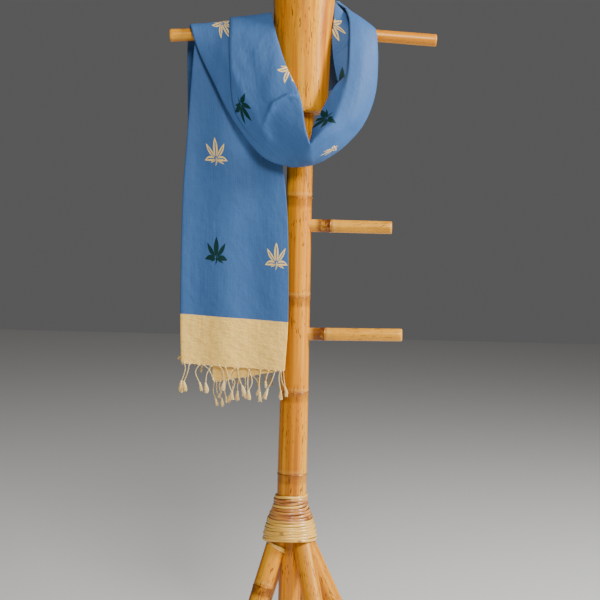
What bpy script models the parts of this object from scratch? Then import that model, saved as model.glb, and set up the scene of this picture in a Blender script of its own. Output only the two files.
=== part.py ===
"""A silk stole, folded lengthwise in three and wound once round a bamboo display stand.

The stole hangs in front of the left arm, goes over it, behind the neck and over the right arm, falls in
front as a swag, and goes up over the left arm again to hang behind. The stand is a post on five splayed
legs, with a thick neck, two arms and two pegs. X is to the right of someone who faces the stole, Y is
away from them, Z is up, and the origin is at the foot of the post. All sizes below are in millimetres.
"""

import math

import bmesh
import bpy
import numpy as np
from mathutils import Vector

MM = 0.001
SEAM = 0.3  # between pieces that touch

# Stole
PLY = 1.2  # one layer of cloth, with its nap
PITCH = 1.6  # from one layer of the folded stole to the next
STACK = 2.4  # three layers lying tight on each other
FOLDED_WIDTH = 199.0
BORDER_HEIGHT = 97.0
BORDER_STRIP = 4.0  # the last threads of the border, which carry the fringe
CORD_WIDTH = 2.8
TUFT_WIDTH = 4.6
RIGHT_FLAP = 0.70  # how far the right flap reaches back across the panel
LEFT_FLAP = 0.92
FLAP_DROP = 19.0  # the flaps were folded askew, so the right one hangs lower at its free edge
FLAP_RISE = 14.0  # and the left one ends higher
PANEL_WAVE = 1.6

# Stand: heights and radii
NECK_RADII = ((1181, 38.0), (1184, 45.0), (1192, 49.3), (1225, 50.0), (1299, 52.0), (1391, 57.0),
              (1440, 59.0))
POST_RADII = ((0, 21.0), (404, 21.5), (424, 28.0), (514, 28.0), (841, 25.5), (1076, 24.0), (1180.7, 23.5))
POST_NODES = (487.0, 654.0, 841.0, 1029.0)
NODE_RISE = 1.3
NODE_HALF = 5.0
ARM_HEIGHT = 1336.0
ARM_REACH = 249.0
LEFT_ARM_DROOP = 16.0
RIGHT_ARM_DROOP = 13.0
ARM_RADIUS = 12.0
ARM_ROOT_RADIUS = 11.0
SOCKET = 8.0  # how deep the arms and pegs are set
PEG_RADIUS = 12.0
PEGS = (
    # name, end x, y, z, root z
    ("peg_upper", 175.0, -22.0, 972.0, 972.0),
    ("peg_lower", 200.0, -28.0, 771.0, 766.0),
)
LEG_LINES = (
    # where it leans, in degrees round the post, how far its middle line passes beside the post's, extra reach
    (231.0, -13.0, 0.0),
    (297.0, 13.0, 0.0),
    (8.0, 4.0, 1.5),
    (70.0, 0.0, 0.0),
    (125.0, 0.0, 0.0),
)
LEGS = len(LEG_LINES)
LEG_RADIUS = 18.5
LEG_SPLAY = 0.475  # outward for each unit down
LEG_FROM_POST = 32.6  # to the leg's middle, at the foot of the binding
LEG_TOP = 400.0
LEG_TRIM = 40.0  # left on each end of a leg's pole for the saw
LEG_NODE = 0.42  # how far up the pole its bamboo node lies
BINDING_FOOT = 357.0
BINDING_RADII = ((BINDING_FOOT, 53.0), (360, 54.2), (368, 54.2), (379, 52.6), (393, 48.3), (411, 41.8),
                 (430, 35.0), (449, 30.0))

# The panel in front, from its hem up to the arm's height, above which it turns over the arm: height at
# the left and the right, X of both edges and Y of both edges.
OVER_ARM = 16.4
FRONT_ROWS = (
    # z_left, z_right, x_left, x_right, y_left, y_right
    (703, 697, -215, -20, -19.0, -28.0),
    (800, 790, -217, -16, -19.0, -28.0),
    (907, 907, -217.5, -18, -19.0, -28.0),
    (989, 989, -217, -22, -19.0, -28.0),
    (1049, 1049, -215.5, -28, -19.0, -27.5),
    (1100, 1100, -212.5, -37, -18.0, -26.0),
    (1187, 1187, -207.5, -55, -17.4, -23.0),
    (1288, 1288, -201.5, -61, -OVER_ARM, -17.5),
    (1323, 1332, -197.5, -62, -OVER_ARM, -OVER_ARM),
)
ARM_ROW = len(FRONT_ROWS) - 1

# The swag, from the right arm round to the left arm: its lower fold, its ridge (the lit fold beside the
# neck), the turned-in edge behind the ridge, how far the lower fold is tucked under, how much the face
# swells, and where along the face the pleat lies, with its height.
SWAG_ROWS = (
    # lower x, y, z, ridge x, y, z, turned-in x, y, z, tuck, swell, pleat at, pleat height
    (132, 0, 1343.5, 77, 0, 1378, 80, 0, 1373, 1, 2, 0.30, 0),
    (134, -11, 1339, 81, -15, 1366, 85, -11.5, 1361, 1, 3, 0.30, 0),
    (137, -16.5, 1322, 86, -27, 1346, 91, -22, 1343, 2, 4, 0.30, 0),
    (140, -21, 1277, 87, -45, 1293, 94, -37, 1290, 8, 6, 0.30, 0),
    (136, -28, 1217, 84, -52, 1256, 86, -42, 1256, 12, 8, 0.30, 0),
    (117, -38, 1164, 75, -64, 1209, 60, -50, 1228, 14, 7, 0.30, 0),
    (84, -48, 1123, 59, -76, 1164, 35, -56, 1179, 16, 6, 0.30, 0),
    (50, -55, 1097, 40, -83, 1147, 23, -59, 1155, 18, 6, 0.30, 0),
    (28, -57, 1086, 24, -85, 1130, 20, -66, 1138, 18, 6, 0.30, 0),
    (14, -58, 1082, 18, -85, 1123, 17, -70, 1127, 18, 6, 0.30, 0),
    (-4, -58, 1080, 14.5, -83, 1133, 10, -70, 1132, 18, 6, 0.30, 0),
    (-24, -57, 1081, 9, -79, 1154, 2, -68, 1148, 17, 6, 0.30, 0),
    (-72, -50, 1099, -1, -68, 1209, -9, -60, 1202, 14, 8, 0.12, 0),
    (-126, -40, 1164, -28, -57, 1267, -36, -50, 1260, 9, 9, 0.08, 1.0),
    (-165, -32, 1237, -44, -47, 1313, -52, -41, 1307, 5, 7, 0.28, 3.0),
    (-188, -26, 1281, -51, -36, 1338, -58, -31, 1333, 3, 4, 0.39, 4.0),
    (-201, -22, 1312, -56, -23, 1353, -61, -19, 1348, 1.5, 2, 0.45, 4.5),
    (-209, -14.5, 1336.5, -59, -11, 1364, -63, -9, 1359, 1, -2.5, 0.48, 4.5),
    (-211.5, 0, 1342, -60, 0, 1367, -64, 0, 1361, 1, -5.5, 0.48, 4.5),
)

# The inner edge of the stole beside the neck, from the right arm down behind the swag's ridge.
FLAP_ROWS = (
    # at the neck x, y, z, behind the ridge x, y, z
    (58, 0, 1389, 88, 0, 1357),
    (56, -14, 1353, 92, -16, 1338),
    (54, -20, 1322, 96, -21, 1312),
    (56, -25, 1290, 97, -27, 1284),
    (61, -31, 1260, 92, -35, 1256),
    (66, -38, 1240, 86, -41, 1236),
)

# The stretch behind the neck, from the left arm to the right arm.
COLLAR_ROWS = (
    # upper edge x, y, z, lower edge x, y, z, swell
    (-62, 0, 1346.8, -197.5, 0, 1338.1, 0),
    (-67, 16, 1346, -203, 13, 1330, 1),
    (-64, 38, 1352, -200, 22, 1310, 4),
    (-50, 56, 1360, -172, 34, 1276, 6),
    (-26, 68, 1370, -122, 52, 1246, 8),
    (4, 73, 1379, -58, 70, 1228, 9),
    (34, 67, 1385, 12, 80, 1222, 10),
    (56, 51, 1389, 72, 72, 1240, 9),
    (66, 30, 1392, 112, 46, 1286, 6),
    (65, 12, 1392, 131, 16, 1331, 3),
    (58, 0, 1390.5, 132, 0, 1343, 1),
)

# The other end, which goes over the left arm and the collar and hangs behind.
BACK_ROWS = (
    # left edge x, y, z, right edge x, y, z, swell
    (-211.5, 0, 1342, -60, 0, 1367, -5.5),
    (-214, 16, 1337, -62, 16, 1366.5, -2),
    (-217, 24, 1318, -66, 40, 1364, 1),
    (-218.5, 30, 1295, -70, 72, 1344, 3),
    (-218, 32, 1260, -62, 86, 1300, 3),
    (-216.5, 32, 1215, -52, 90, 1240, 3),
    (-215, 30, 1160, -42, 66, 1180, 3),
    (-214, 27, 1100, -36, 46, 1120, 3),
    (-213, 24, 1000, -33, 37, 1000, 3),
    (-213, 23, 826, -31, 33, 812, 3),
    (-213, 23, 728, -31, 32, 712, 3),
)
BACK_BORDER_ROW = 9

# The fringe cords at the front hem and at the flap's hem.
FRONT_CORDS = (
    # x of the root, sway at the middle, sway at the end, length
    (-209.0, -2.5, -8.5, 56),
    (-201.0, -3.5, -6.0, 54),
    (-182.0, -6.0, 4.0, 50),
    (-170.5, 4.0, 6.0, 49),
    (-157.5, -4.5, -6.0, 52),
    (-144.5, 5.5, 4.0, 51),
    (-131.5, 5.0, 3.5, 63),
    (-119.0, -5.0, -4.0, 60),
    (-108.0, 2.0, 8.0, 55),
    (-96.5, -1.0, -2.5, 50),
    (-87.5, -1.5, 1.5, 59),
    (-66.0, -2.0, -1.0, 59),
    (-55.5, -2.5, -3.5, 40),
    (-46.5, 1.0, 6.0, 44),
    (-38.0, -3.5, -8.0, 56),
    (-29.5, -1.5, 1.0, 53),
    (-23.0, 3.0, 5.5, 52),
)
FLAP_CORDS = (
    (-150.5, -4.0, 2.0, 47),
    (-142.5, 1.0, -1.0, 48),
    (-133.5, 3.5, 2.0, 41),
    (-124.0, -2.5, -3.5, 36),
    (-113.0, 2.5, -1.5, 44),
    (-101.5, -3.0, 2.5, 38),
    (-91.0, 3.0, 4.0, 40),
    (-79.0, -2.0, -4.0, 36),
)
BACK_CORDS = 12
BACK_CORD_LENGTH = 54.0
FIRST_BACK_CORD = -207.0
BACK_CORD_PITCH = 14.9
FRONT_DRIFT = -4.0  # how far the cords' ends hang away from the viewer
FLAP_DRIFT = 7.0
BACK_DRIFT = 2.0
CORD_SHAPE = (
    # share of the length, half width, half depth
    (0.16, 1.2, 1.1),
    (0.42, 1.2, 1.1),
    (0.66, 1.2, 1.1),
    (0.73, 1.9, 1.8),
    (0.79, 1.5, 1.4),
    (1.0, TUFT_WIDTH / 2, 1.7),
)

SMOOTH_ANGLE = math.radians(40)


# Scene, collections and finishes
for old in list(bpy.data.objects):
    bpy.data.objects.remove(old)
PARTS = bpy.data.collections.new("silk_stole_on_stand")
CUTTERS = bpy.data.collections.new("cutters")
bpy.context.scene.collection.children.link(PARTS)
bpy.context.scene.collection.children.link(CUTTERS)


def finish(name, colour, roughness):
    material = bpy.data.materials.new(name)
    material.use_nodes = True
    shader = material.node_tree.nodes["Principled BSDF"]
    shader.inputs["Base Color"].default_value = (*colour, 1.0)
    shader.inputs["Roughness"].default_value = roughness
    shader.inputs["Metallic"].default_value = 0.0
    return material


BLUE_SILK = finish("blue_silk", (0.08, 0.19, 0.42), 0.55)
BEIGE_SILK = finish("beige_silk", (0.72, 0.58, 0.34), 0.7)
CREAM_THREAD = finish("cream_thread", (0.78, 0.66, 0.42), 0.75)
HONEY_BAMBOO = finish("honey_bamboo", (0.72, 0.38, 0.10), 0.3)
RATTAN = finish("rattan", (0.70, 0.47, 0.22), 0.4)


def place(obj, material):
    """Puts a finished piece in the object's collection, smooth but for its real edges."""
    PARTS.objects.link(obj)
    obj.data.materials.append(material)
    obj.data.shade_smooth()
    obj.data.set_sharp_from_angle(angle=SMOOTH_ANGLE)
    return obj


def cutter(obj):
    CUTTERS.objects.link(obj)
    obj.hide_render = True
    obj.display_type = "WIRE"
    return obj


def cut(obj, tool):
    boolean = obj.modifiers.new(f"cut_{tool.name}", "BOOLEAN")
    boolean.operation = "DIFFERENCE"
    boolean.solver = "EXACT"
    boolean.object = tool


# Bamboo: turned members
def turned(name, profile, steps):
    """A member round local Z. The profile is (height, radius) pairs from its foot up."""
    points = [(0.0, profile[-1][0])] + [(r, z) for z, r in reversed(profile)] + [(0.0, profile[0][0])]
    mesh = bpy.data.meshes.new(name)
    edges = [(i, i + 1) for i in range(len(points) - 1)]
    mesh.from_pydata([(r * MM, 0.0, z * MM) for r, z in points], edges, [])
    obj = bpy.data.objects.new(name, mesh)
    screw = obj.modifiers.new("turn", "SCREW")
    screw.steps = steps
    screw.render_steps = steps
    screw.use_merge_vertices = True
    screw.merge_threshold = 0.00005
    return obj


def radius_at(profile, z):
    return float(np.interp(z, [row[0] for row in profile], [row[1] for row in profile]))


def with_nodes(profile, nodes):
    """The profile with the swollen ring of each bamboo node added."""
    rings = [(z + dz, radius_at(profile, z) + rise)
             for z in nodes for dz, rise in ((-NODE_HALF, 0.0), (0.0, NODE_RISE), (NODE_HALF, -0.4))]
    clear = [row for row in profile if all(abs(row[0] - z) > 2 * NODE_HALF for z in nodes)]
    return sorted(clear + rings)


def aimed(obj, start, end):
    """Stands a member that was made along Z on the start point, facing the end point."""
    direction = Vector(end) - Vector(start)
    obj.location = Vector(start) * MM
    obj.rotation_euler = direction.to_track_quat("Z", "Y").to_euler()
    return obj


def rod(name, start, end, root_radius, end_radius, holder):
    """An arm or a peg with a rounded end, and the socket for it in the piece that holds it."""
    length = (Vector(end) - Vector(start)).length
    profile = [(0.0, root_radius), (length - 3.0, end_radius), (length - 1.0, end_radius - 0.8),
               (length, end_radius - 2.8)]
    piece = place(aimed(turned(name, profile, 14), start, end), HONEY_BAMBOO)
    bore = [(-SEAM, root_radius + SEAM), (length, root_radius + SEAM)]
    cut(holder, cutter(aimed(turned(f"{name}_socket", bore, 14), start, end)))
    return piece


post = place(turned("post", with_nodes(POST_RADII, POST_NODES), 20), HONEY_BAMBOO)
neck = place(turned("neck", NECK_RADII, 32), HONEY_BAMBOO)


def arm(name, side, droop):
    slope = droop / ARM_REACH
    inside = radius_at(NECK_RADII, ARM_HEIGHT) - SOCKET
    start = (side * inside, 0.0, ARM_HEIGHT - slope * inside)
    end = (side * ARM_REACH, 0.0, ARM_HEIGHT - droop)
    return rod(name, start, end, ARM_ROOT_RADIUS, ARM_RADIUS if side < 0 else ARM_ROOT_RADIUS + 0.6, neck)


arm("arm_left", -1, LEFT_ARM_DROOP)
arm("arm_right", 1, RIGHT_ARM_DROOP)


for name, x, y, z, root_z in PEGS:
    root = Vector((x, y, 0.0)).normalized() * (radius_at(POST_RADII, root_z) - SOCKET)
    rod(name, (root.x, root.y, root_z), (x, y, z), PEG_RADIUS, PEG_RADIUS, post)


# Legs: each leans on the post and is mitred against its neighbours inside the binding
def leg_line(number, z):
    """The point of the leg's middle line at a height."""
    leans, beside, reach = LEG_LINES[number]
    angle = math.radians(leans)
    out = LEG_FROM_POST + reach + LEG_SPLAY * (BINDING_FOOT - 6.0 - z)
    return Vector((math.cos(angle) * out - math.sin(angle) * beside,
                   math.sin(angle) * out + math.cos(angle) * beside, z))


def mitre_angle(number, side):
    """The direction, from the post, of the joint between a leg and the next one on that side."""
    here, there = leg_line(number, BINDING_FOOT), leg_line((number + side) % LEGS, BINDING_FOOT)
    start, end = math.atan2(here.y, here.x), math.atan2(there.y, there.x)
    return start + side * ((end - start) * side % (2 * math.pi)) / 2


def sliced(mesh, point, normal):
    """Takes off what lies on the side that the normal points to, and closes the cut."""
    work = bmesh.new()
    work.from_mesh(mesh)
    everything = work.verts[:] + work.edges[:] + work.faces[:]
    found = bmesh.ops.bisect_plane(work, geom=everything, plane_co=point, plane_no=normal, clear_outer=True)
    edges = [e for e in found["geom_cut"] if isinstance(e, bmesh.types.BMEdge)]
    bmesh.ops.holes_fill(work, edges=edges, sides=0)
    work.to_mesh(mesh)
    work.free()


def leg_pole(number, extra):
    """The whole round pole of a leg, before it is mitred, as a mesh in place."""
    foot, head = leg_line(number, -LEG_TRIM), leg_line(number, LEG_TOP + LEG_TRIM)
    length = (head - foot).length
    radius = LEG_RADIUS + extra
    low = length * LEG_NODE
    profile = [(0.0, radius + 0.6), (low, radius), (low + NODE_HALF, radius + NODE_RISE),
               (low + 2 * NODE_HALF, radius), (length, radius)]
    pole = aimed(turned(f"leg_pole_{number}", profile, 16), foot, head)
    CUTTERS.objects.link(pole)
    bpy.context.view_layer.update()
    graph = bpy.context.evaluated_depsgraph_get()
    mesh = bpy.data.meshes.new_from_object(pole.evaluated_get(graph))
    mesh.transform(pole.matrix_world)
    bpy.data.objects.remove(pole)
    return mesh


post_outline = [(-5.0, POST_RADII[0][1] + SEAM)] + [(z, r + SEAM) for z, r in POST_RADII[1:4]]
post_room = cutter(turned("post_room", post_outline, 20))
leg_rooms = []
for number in range(LEGS):
    name = f"leg_{number + 1}"
    mesh = leg_pole(number, 0.0)
    sliced(mesh, (0.0, 0.0, 0.0), (0.0, 0.0, -1.0))
    sliced(mesh, (0.0, 0.0, LEG_TOP * MM), (0.0, 0.0, 1.0))
    for side in (-1, 1):
        edge = mitre_angle(number, side)
        outward = Vector((-math.sin(edge) * side, math.cos(edge) * side, 0.0))
        sliced(mesh, -outward * SEAM / 2 * MM, outward)
    leg = bpy.data.objects.new(name, mesh)
    cut(place(leg, HONEY_BAMBOO), post_room)
    room = leg_pole(number, SEAM)
    sliced(room, (0.0, 0.0, (LEG_TOP + SEAM) * MM), (0.0, 0.0, 1.0))
    sliced(room, (0.0, 0.0, (BINDING_FOOT - 30.0) * MM), (0.0, 0.0, -1.0))
    leg_rooms.append(cutter(bpy.data.objects.new(f"{name}_room", room)))

binding = place(turned("binding", BINDING_RADII, 28), RATTAN)
for tool in [post_room] + leg_rooms:
    cut(binding, tool)


# Cloth: sections worked out from the rows above, given their wall by Solidify
def between(rows, t):
    """The point at t of a smooth line (Catmull-Rom) through the rows, where each row is one step."""
    rows = np.array(rows, float)
    k = min(int(t), len(rows) - 2)
    u = t - k
    a, b, c, d = np.vstack([2 * rows[0] - rows[1], rows, 2 * rows[-1] - rows[-2]])[k:k + 4]
    return 0.5 * (2 * b + (c - a) * u + (2 * a - 5 * b + 4 * c - d) * u**2 + (3 * b - a - 3 * c + d) * u**3)


def along(rows, per):
    """The smooth line through the rows, with this many steps from each to the next."""
    return np.array([between(rows, t) for t in np.linspace(0, len(rows) - 1, per * (len(rows) - 1) + 1)])


def unit(vectors):
    return vectors / np.maximum(np.linalg.norm(vectors, axis=-1, keepdims=True), 1e-9)


def cloth(name, grid, wall, material):
    """A sheet from a grid of points, rows by columns, with its wall."""
    grid = np.asarray(grid, float)
    count, columns = grid.shape[:2]
    faces = [(r * columns + c, r * columns + c + 1, (r + 1) * columns + c + 1, (r + 1) * columns + c)
             for r in range(count - 1) for c in range(columns - 1)]
    mesh = bpy.data.meshes.new(name)
    mesh.from_pydata((grid.reshape(-1, 3) * MM).tolist(), [], faces)
    obj = place(bpy.data.objects.new(name, mesh), material)
    solidify = obj.modifiers.new("wall", "SOLIDIFY")
    solidify.thickness = wall * MM
    solidify.offset = 0.0
    solidify.use_even_offset = True
    return obj


# Front panel: face and two flaps, folded like a letter
def letter_section():
    """Where each point of the folded section lies: across the panel (0 to 1), depth, and drop at the hem.

    It runs from the free edge of the left flap, round the left fold, over the face and round the right
    fold to the free edge of the right flap.
    """
    left, right = PITCH / FOLDED_WIDTH, PITCH / 2 / FOLDED_WIDTH
    rows = [(s, 2 * PITCH, FLAP_RISE * s) for s in np.linspace(LEFT_FLAP, 0.04, 5)]
    for a in (0.75, 0.5, 0.25):
        rows.append((-math.sin(math.pi * a) * left, PITCH * (1 - math.cos(math.pi * a)), 0.0))
    rows += [(s, 0.0, 0.0) for s in np.linspace(0.012, 0.988, 9)]
    for a in (0.3, 0.7):
        rows.append((1 + math.sin(math.pi * a) * right, PITCH / 2 * (1 - math.cos(math.pi * a)), 0.0))
    rows += [(s, PITCH, -FLAP_DROP * (1 - s) / RIGHT_FLAP) for s in np.linspace(0.985, 1 - RIGHT_FLAP, 5)]
    return rows


def left_arm_height(x):
    return ARM_HEIGHT + LEFT_ARM_DROOP * x / ARM_REACH


def front_point(h, s, depth, drop):
    """The panel's point at row h, where 0 is the hem; each row past the arm's is a quarter turn over it."""
    z_left, z_right, x_left, x_right, y_left, y_right = between(FRONT_ROWS, min(h, ARM_ROW))
    x = x_left + (x_right - x_left) * s
    if h > ARM_ROW:
        turn = math.pi / 2 * (h - ARM_ROW)
        reach = OVER_ARM - depth
        return (x, -reach * math.cos(turn), left_arm_height(x) + reach * math.sin(turn))
    wave = PANEL_WAVE * math.sin(2 * math.pi * (1.6 * s + 0.12)) * min(1.0, (ARM_ROW - h) / 3)
    y = y_left + (y_right - y_left) * s + wave * s * (1 - s) * 4
    z = z_left + (z_right - z_left) * s + drop * max(0.0, 1.0 - h)
    return (x, y + depth, z)


section = letter_section()
strip = BORDER_STRIP / BORDER_HEIGHT
gap = SEAM / BORDER_HEIGHT
over = 1.0 - SEAM / 2 / (math.pi / 2 * OVER_ARM)
panel_steps = [1.0 + gap / 2] + [0.5 * k for k in range(3, 2 * ARM_ROW + 1)]
panel_steps += [ARM_ROW + over * k / 4 for k in range(1, 5)]
cloth("front_panel", [[front_point(h, *p) for p in section] for h in panel_steps], PLY, BLUE_SILK)
border_steps = np.linspace(strip + gap, 1.0 - gap / 2, 4)
cloth("front_border", [[front_point(h, *p) for p in section] for h in border_steps], PLY, BEIGE_SILK)


# Fringe: cords drawn out of the lower face of a narrow strip
def fringe(name, hem, cords, drift, material):
    """hem(x) gives the strip's upper and lower point at x. A cord is root, mid sway, end sway, length."""
    first, last = hem.ends
    stations = [first] + [c[0] + side * CORD_WIDTH / 2 for c in cords for side in (-1, 1)] + [last]
    work = bmesh.new()
    rings = []
    for x in stations:
        top, low = hem(x)
        half = np.array((0.0, PLY / 2, 0.0))
        corners = (top - half, low - half, low + half, top + half)
        rings.append([work.verts.new(Vector(p) * MM) for p in corners])
    work.faces.new(rings[0])
    work.faces.new(rings[-1])
    for i, (here, there) in enumerate(zip(rings, rings[1:])):
        sides = (0, 2, 3) if i % 2 else (0, 1, 2, 3)
        for k in sides:
            work.faces.new((here[k], there[k], there[(k + 1) % 4], here[(k + 1) % 4]))
        if i % 2:
            draw_cord(work, [here[1], there[1], there[2], here[2]], cords[i // 2], drift)
    bmesh.ops.recalc_face_normals(work, faces=work.faces[:])
    mesh = bpy.data.meshes.new(name)
    work.to_mesh(mesh)
    work.free()
    return place(bpy.data.objects.new(name, mesh), material)


def draw_cord(work, ring, cord, drift):
    """Draws the ring down into a twisted cord, its knot and its tuft."""
    root, middle, end, length = cord
    centre = sum((v.co for v in ring), Vector()) / 4 / MM
    for share, across, deep in CORD_SHAPE:
        sway = middle * math.sin(math.pi * min(share / 0.8, 1.0)) + end * share**2
        lower = []
        for sx, sy in ((-1, -1), (1, -1), (1, 1), (-1, 1)):
            side = centre.y + drift * share + sy * deep
            point = Vector((root + sway + sx * across, side, centre.z - length * share))
            lower.append(work.verts.new(point * MM))
        for k in range(4):
            work.faces.new((ring[k], ring[(k + 1) % 4], lower[(k + 1) % 4], lower[k]))
        ring = lower
    work.faces.new(ring)


class Hem:
    """A strip along the foot of a cloth, as a function of X."""

    def __init__(self, first, last, point):
        self.ends = (first, last)
        self.point = point

    def __call__(self, x):
        return np.array(self.point(x, strip)), np.array(self.point(x, 0.0))


def across_panel(x):
    return (x - FRONT_ROWS[0][2]) / (FRONT_ROWS[0][3] - FRONT_ROWS[0][2])


def front_hem(x, h):
    return front_point(h, across_panel(x), 0.0, 0.0)


def flap_hem(x, h):
    s = across_panel(x)
    return front_point(h, s, PITCH, -FLAP_DROP * (1 - s) / RIGHT_FLAP)


fringe("front_fringe", Hem(-213.0, -20.6, front_hem), FRONT_CORDS, FRONT_DRIFT, CREAM_THREAD)
fringe("flap_fringe", Hem(-155.5, -70.0, flap_hem), FLAP_CORDS, FLAP_DRIFT, CREAM_THREAD)


# Swag
def swag_grid():
    table = along(SWAG_ROWS, 2)
    lower, ridge, inner = table[:, 0:3], table[:, 3:6], table[:, 6:9]
    tuck, swell, pleat, height = table[:, 9:10], table[:, 10:11], table[:, 11:12], table[:, 12:13]
    across = unit(ridge - lower)
    inward = unit(np.cross(np.gradient((lower + ridge) / 2, axis=0), ridge - lower))
    columns = [lower + tuck * (0.75 * inward + 0.5 * across), lower + 0.45 * tuck * inward]
    spread = [pleat * t for t in (0.0, 0.4, 0.8, 1.0)]
    spread += [pleat + 0.012 + (1 - pleat - 0.012) * t for t in (0.0, 0.22, 0.44, 0.66, 0.86, 1.0)]
    for i, s in enumerate(spread):
        raised = height * (1 - (s - pleat) / (1 - pleat)) if i >= 4 else 0.0
        columns.append(lower + s * (ridge - lower) - inward * (swell * 4 * s * (1 - s) + raised))
    bend = np.linalg.norm(inner - ridge, axis=1, keepdims=True)
    columns += [(ridge + inner) / 2 + across * 0.2 * np.minimum(bend, 9.0), inner]
    return np.stack(columns, axis=1)


swag = swag_grid()
swag[[0, -1], :, 1] = -SEAM
cloth("swag", swag, STACK, BLUE_SILK)

flap = along(FLAP_ROWS, 2)
flap_shares = (0.0, 0.3, 0.65, 1.0)
flap_grid = np.stack([flap[:, 0:3] + s * (flap[:, 3:6] - flap[:, 0:3]) for s in flap_shares], axis=1)
flap_grid[0, :, 1] -= SEAM / 2
cloth("swag_flap", flap_grid, PLY, BLUE_SILK)


# Collar and the end that hangs behind
def swept(rows, per, shares, outward=1):
    """A sheet between two edges, swollen outward by the last column of its rows."""
    table = along(rows, per)
    first, second, swell = table[:, 0:3], table[:, 3:6], table[:, 6:7]
    normal = outward * unit(np.cross(np.gradient((first + second) / 2, axis=0), second - first))
    return np.stack([first + s * (second - first) + normal * swell * 4 * s * (1 - s) for s in shares], axis=1)


shares = np.linspace(0, 1, 8)
collar = swept(COLLAR_ROWS, 2, shares)
collar[[0, -1], :, 1] += SEAM
cloth("collar", collar, STACK, BLUE_SILK)


def back_rows(first, last, trim):
    """Rows of the end that hangs behind, the last of them raised by the trim."""
    rows = np.array(BACK_ROWS[first:last + 1], float)
    rows[-1, [2, 5]] += trim
    return rows


back = swept(back_rows(0, BACK_BORDER_ROW, SEAM), 2, shares, outward=-1)
back[0, :, 1] += 2 * SEAM
cloth("back_panel", back, STACK, BLUE_SILK)
back = swept(back_rows(BACK_BORDER_ROW, BACK_BORDER_ROW + 1, BORDER_STRIP + SEAM), 2, shares, outward=-1)
cloth("back_border", back, STACK, BEIGE_SILK)


def back_hem(x, h):
    hem = np.array(BACK_ROWS[-1], float)
    left, right, swell = hem[0:3], hem[3:6], hem[6]
    s = (x - left[0]) / (right[0] - left[0])
    point = left + s * (right - left)
    point[1] += swell * 4 * s * (1 - s)
    point[2] += h * BORDER_HEIGHT
    return point


back_cords = [(FIRST_BACK_CORD + BACK_CORD_PITCH * i, 3.5 * math.sin(2.1 * i + 0.4),
               5.0 * math.sin(1.3 * i + 2.0), BACK_CORD_LENGTH + 5.0 * math.sin(3.7 * i))
              for i in range(BACK_CORDS)]
fringe("back_fringe", Hem(-211.0, -33.0, back_hem), back_cords, BACK_DRIFT, CREAM_THREAD)
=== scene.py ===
import math
from functools import partialmethod

import bmesh
import bpy
import numpy as np
from mathutils import Matrix, Vector


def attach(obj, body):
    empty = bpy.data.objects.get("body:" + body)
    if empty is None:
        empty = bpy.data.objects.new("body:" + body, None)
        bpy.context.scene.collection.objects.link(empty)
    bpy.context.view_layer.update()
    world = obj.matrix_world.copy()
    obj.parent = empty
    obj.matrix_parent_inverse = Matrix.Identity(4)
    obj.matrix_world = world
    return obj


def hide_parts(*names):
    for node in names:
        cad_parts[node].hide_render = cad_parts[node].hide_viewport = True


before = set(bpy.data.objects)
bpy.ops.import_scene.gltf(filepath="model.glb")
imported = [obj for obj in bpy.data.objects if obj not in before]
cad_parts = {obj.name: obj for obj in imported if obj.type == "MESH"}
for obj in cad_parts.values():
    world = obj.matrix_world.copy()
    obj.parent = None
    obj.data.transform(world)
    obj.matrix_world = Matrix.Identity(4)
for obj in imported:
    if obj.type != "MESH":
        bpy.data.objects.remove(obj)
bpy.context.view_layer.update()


# The camera stands where the photographer stood: 2.4 m in front of the stand, a little above its middle,
# with a long lens, and tilted by the degree and a half that makes the post lean in the photograph.
EYE = Vector((0.0065, -2.4, 1.02))
LOOKED_AT = Vector((0.0065, 0.0, 0.8302))
LEAN = 0.0252
HALF_FRAME_AT_POST = 0.57  # metres from the middle of the picture to its edge


def placed(name, data):
    """A new object with this data, in the scene."""
    made = bpy.data.objects.new(name, data)
    bpy.context.scene.collection.objects.link(made)
    return made


camera = placed("camera", bpy.data.cameras.new("camera"))
aim = (LOOKED_AT - EYE).to_track_quat("-Z", "Y").to_matrix().to_4x4()
camera.matrix_world = Matrix.Translation(EYE) @ aim @ Matrix.Rotation(LEAN, 4, "Z")
camera.data.angle = 2 * math.atan(HALF_FRAME_AT_POST / (LOOKED_AT - EYE).length)
camera.data.clip_end = 30.0
bpy.context.scene.camera = camera


# The studio: a plain pale floor, a soft light above the camera, a stronger one high on the right, a narrow one
# below that one, which draws the bright lines down the varnished bamboo, and a dim, even surround.
FLOOR_SIZE = 14.0
FLOOR_COLOUR = (0.78, 0.77, 0.75, 1)
LIGHTS = (
    # name, place x, y, z, aimed at height, width, height, power
    ("front", 0.35, -2.30, 2.60, 1.0, 0.8, 0.8, 62.0),
    ("right", 2.45, -0.75, 2.35, 1.0, 0.6, 0.9, 135.0),
    ("strip", 2.35, -0.85, 1.20, 0.95, 0.30, 1.5, 20.0),
)
SURROUND_COLOUR = (0.80, 0.80, 0.80, 1)
SURROUND_STRENGTH = 0.13

floor = placed("floor", bpy.data.meshes.new("floor"))
edge = FLOOR_SIZE / 2
corners = [(-edge, -edge, 0), (edge, -edge, 0), (edge, edge, 0), (-edge, edge, 0)]
floor.data.from_pydata(corners, [], [(0, 1, 2, 3)])
floor_paint = bpy.data.materials.new("floor_paint")
floor_paint.use_nodes = True
paint = floor_paint.node_tree.nodes["Principled BSDF"].inputs
paint["Base Color"].default_value = FLOOR_COLOUR
paint["Roughness"].default_value = 0.9
floor.data.materials.append(floor_paint)

for name, x, y, z, aimed_z, width, height, power in LIGHTS:
    lamp = bpy.data.lights.new(name, "AREA")
    lamp.shape = "RECTANGLE"
    lamp.size, lamp.size_y = width, height
    lamp.energy = power
    holder = placed(name, lamp)
    holder.location = (x, y, z)
    holder.rotation_euler = (Vector((0, 0, aimed_z)) - Vector((x, y, z))).to_track_quat("-Z", "Y").to_euler()

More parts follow.
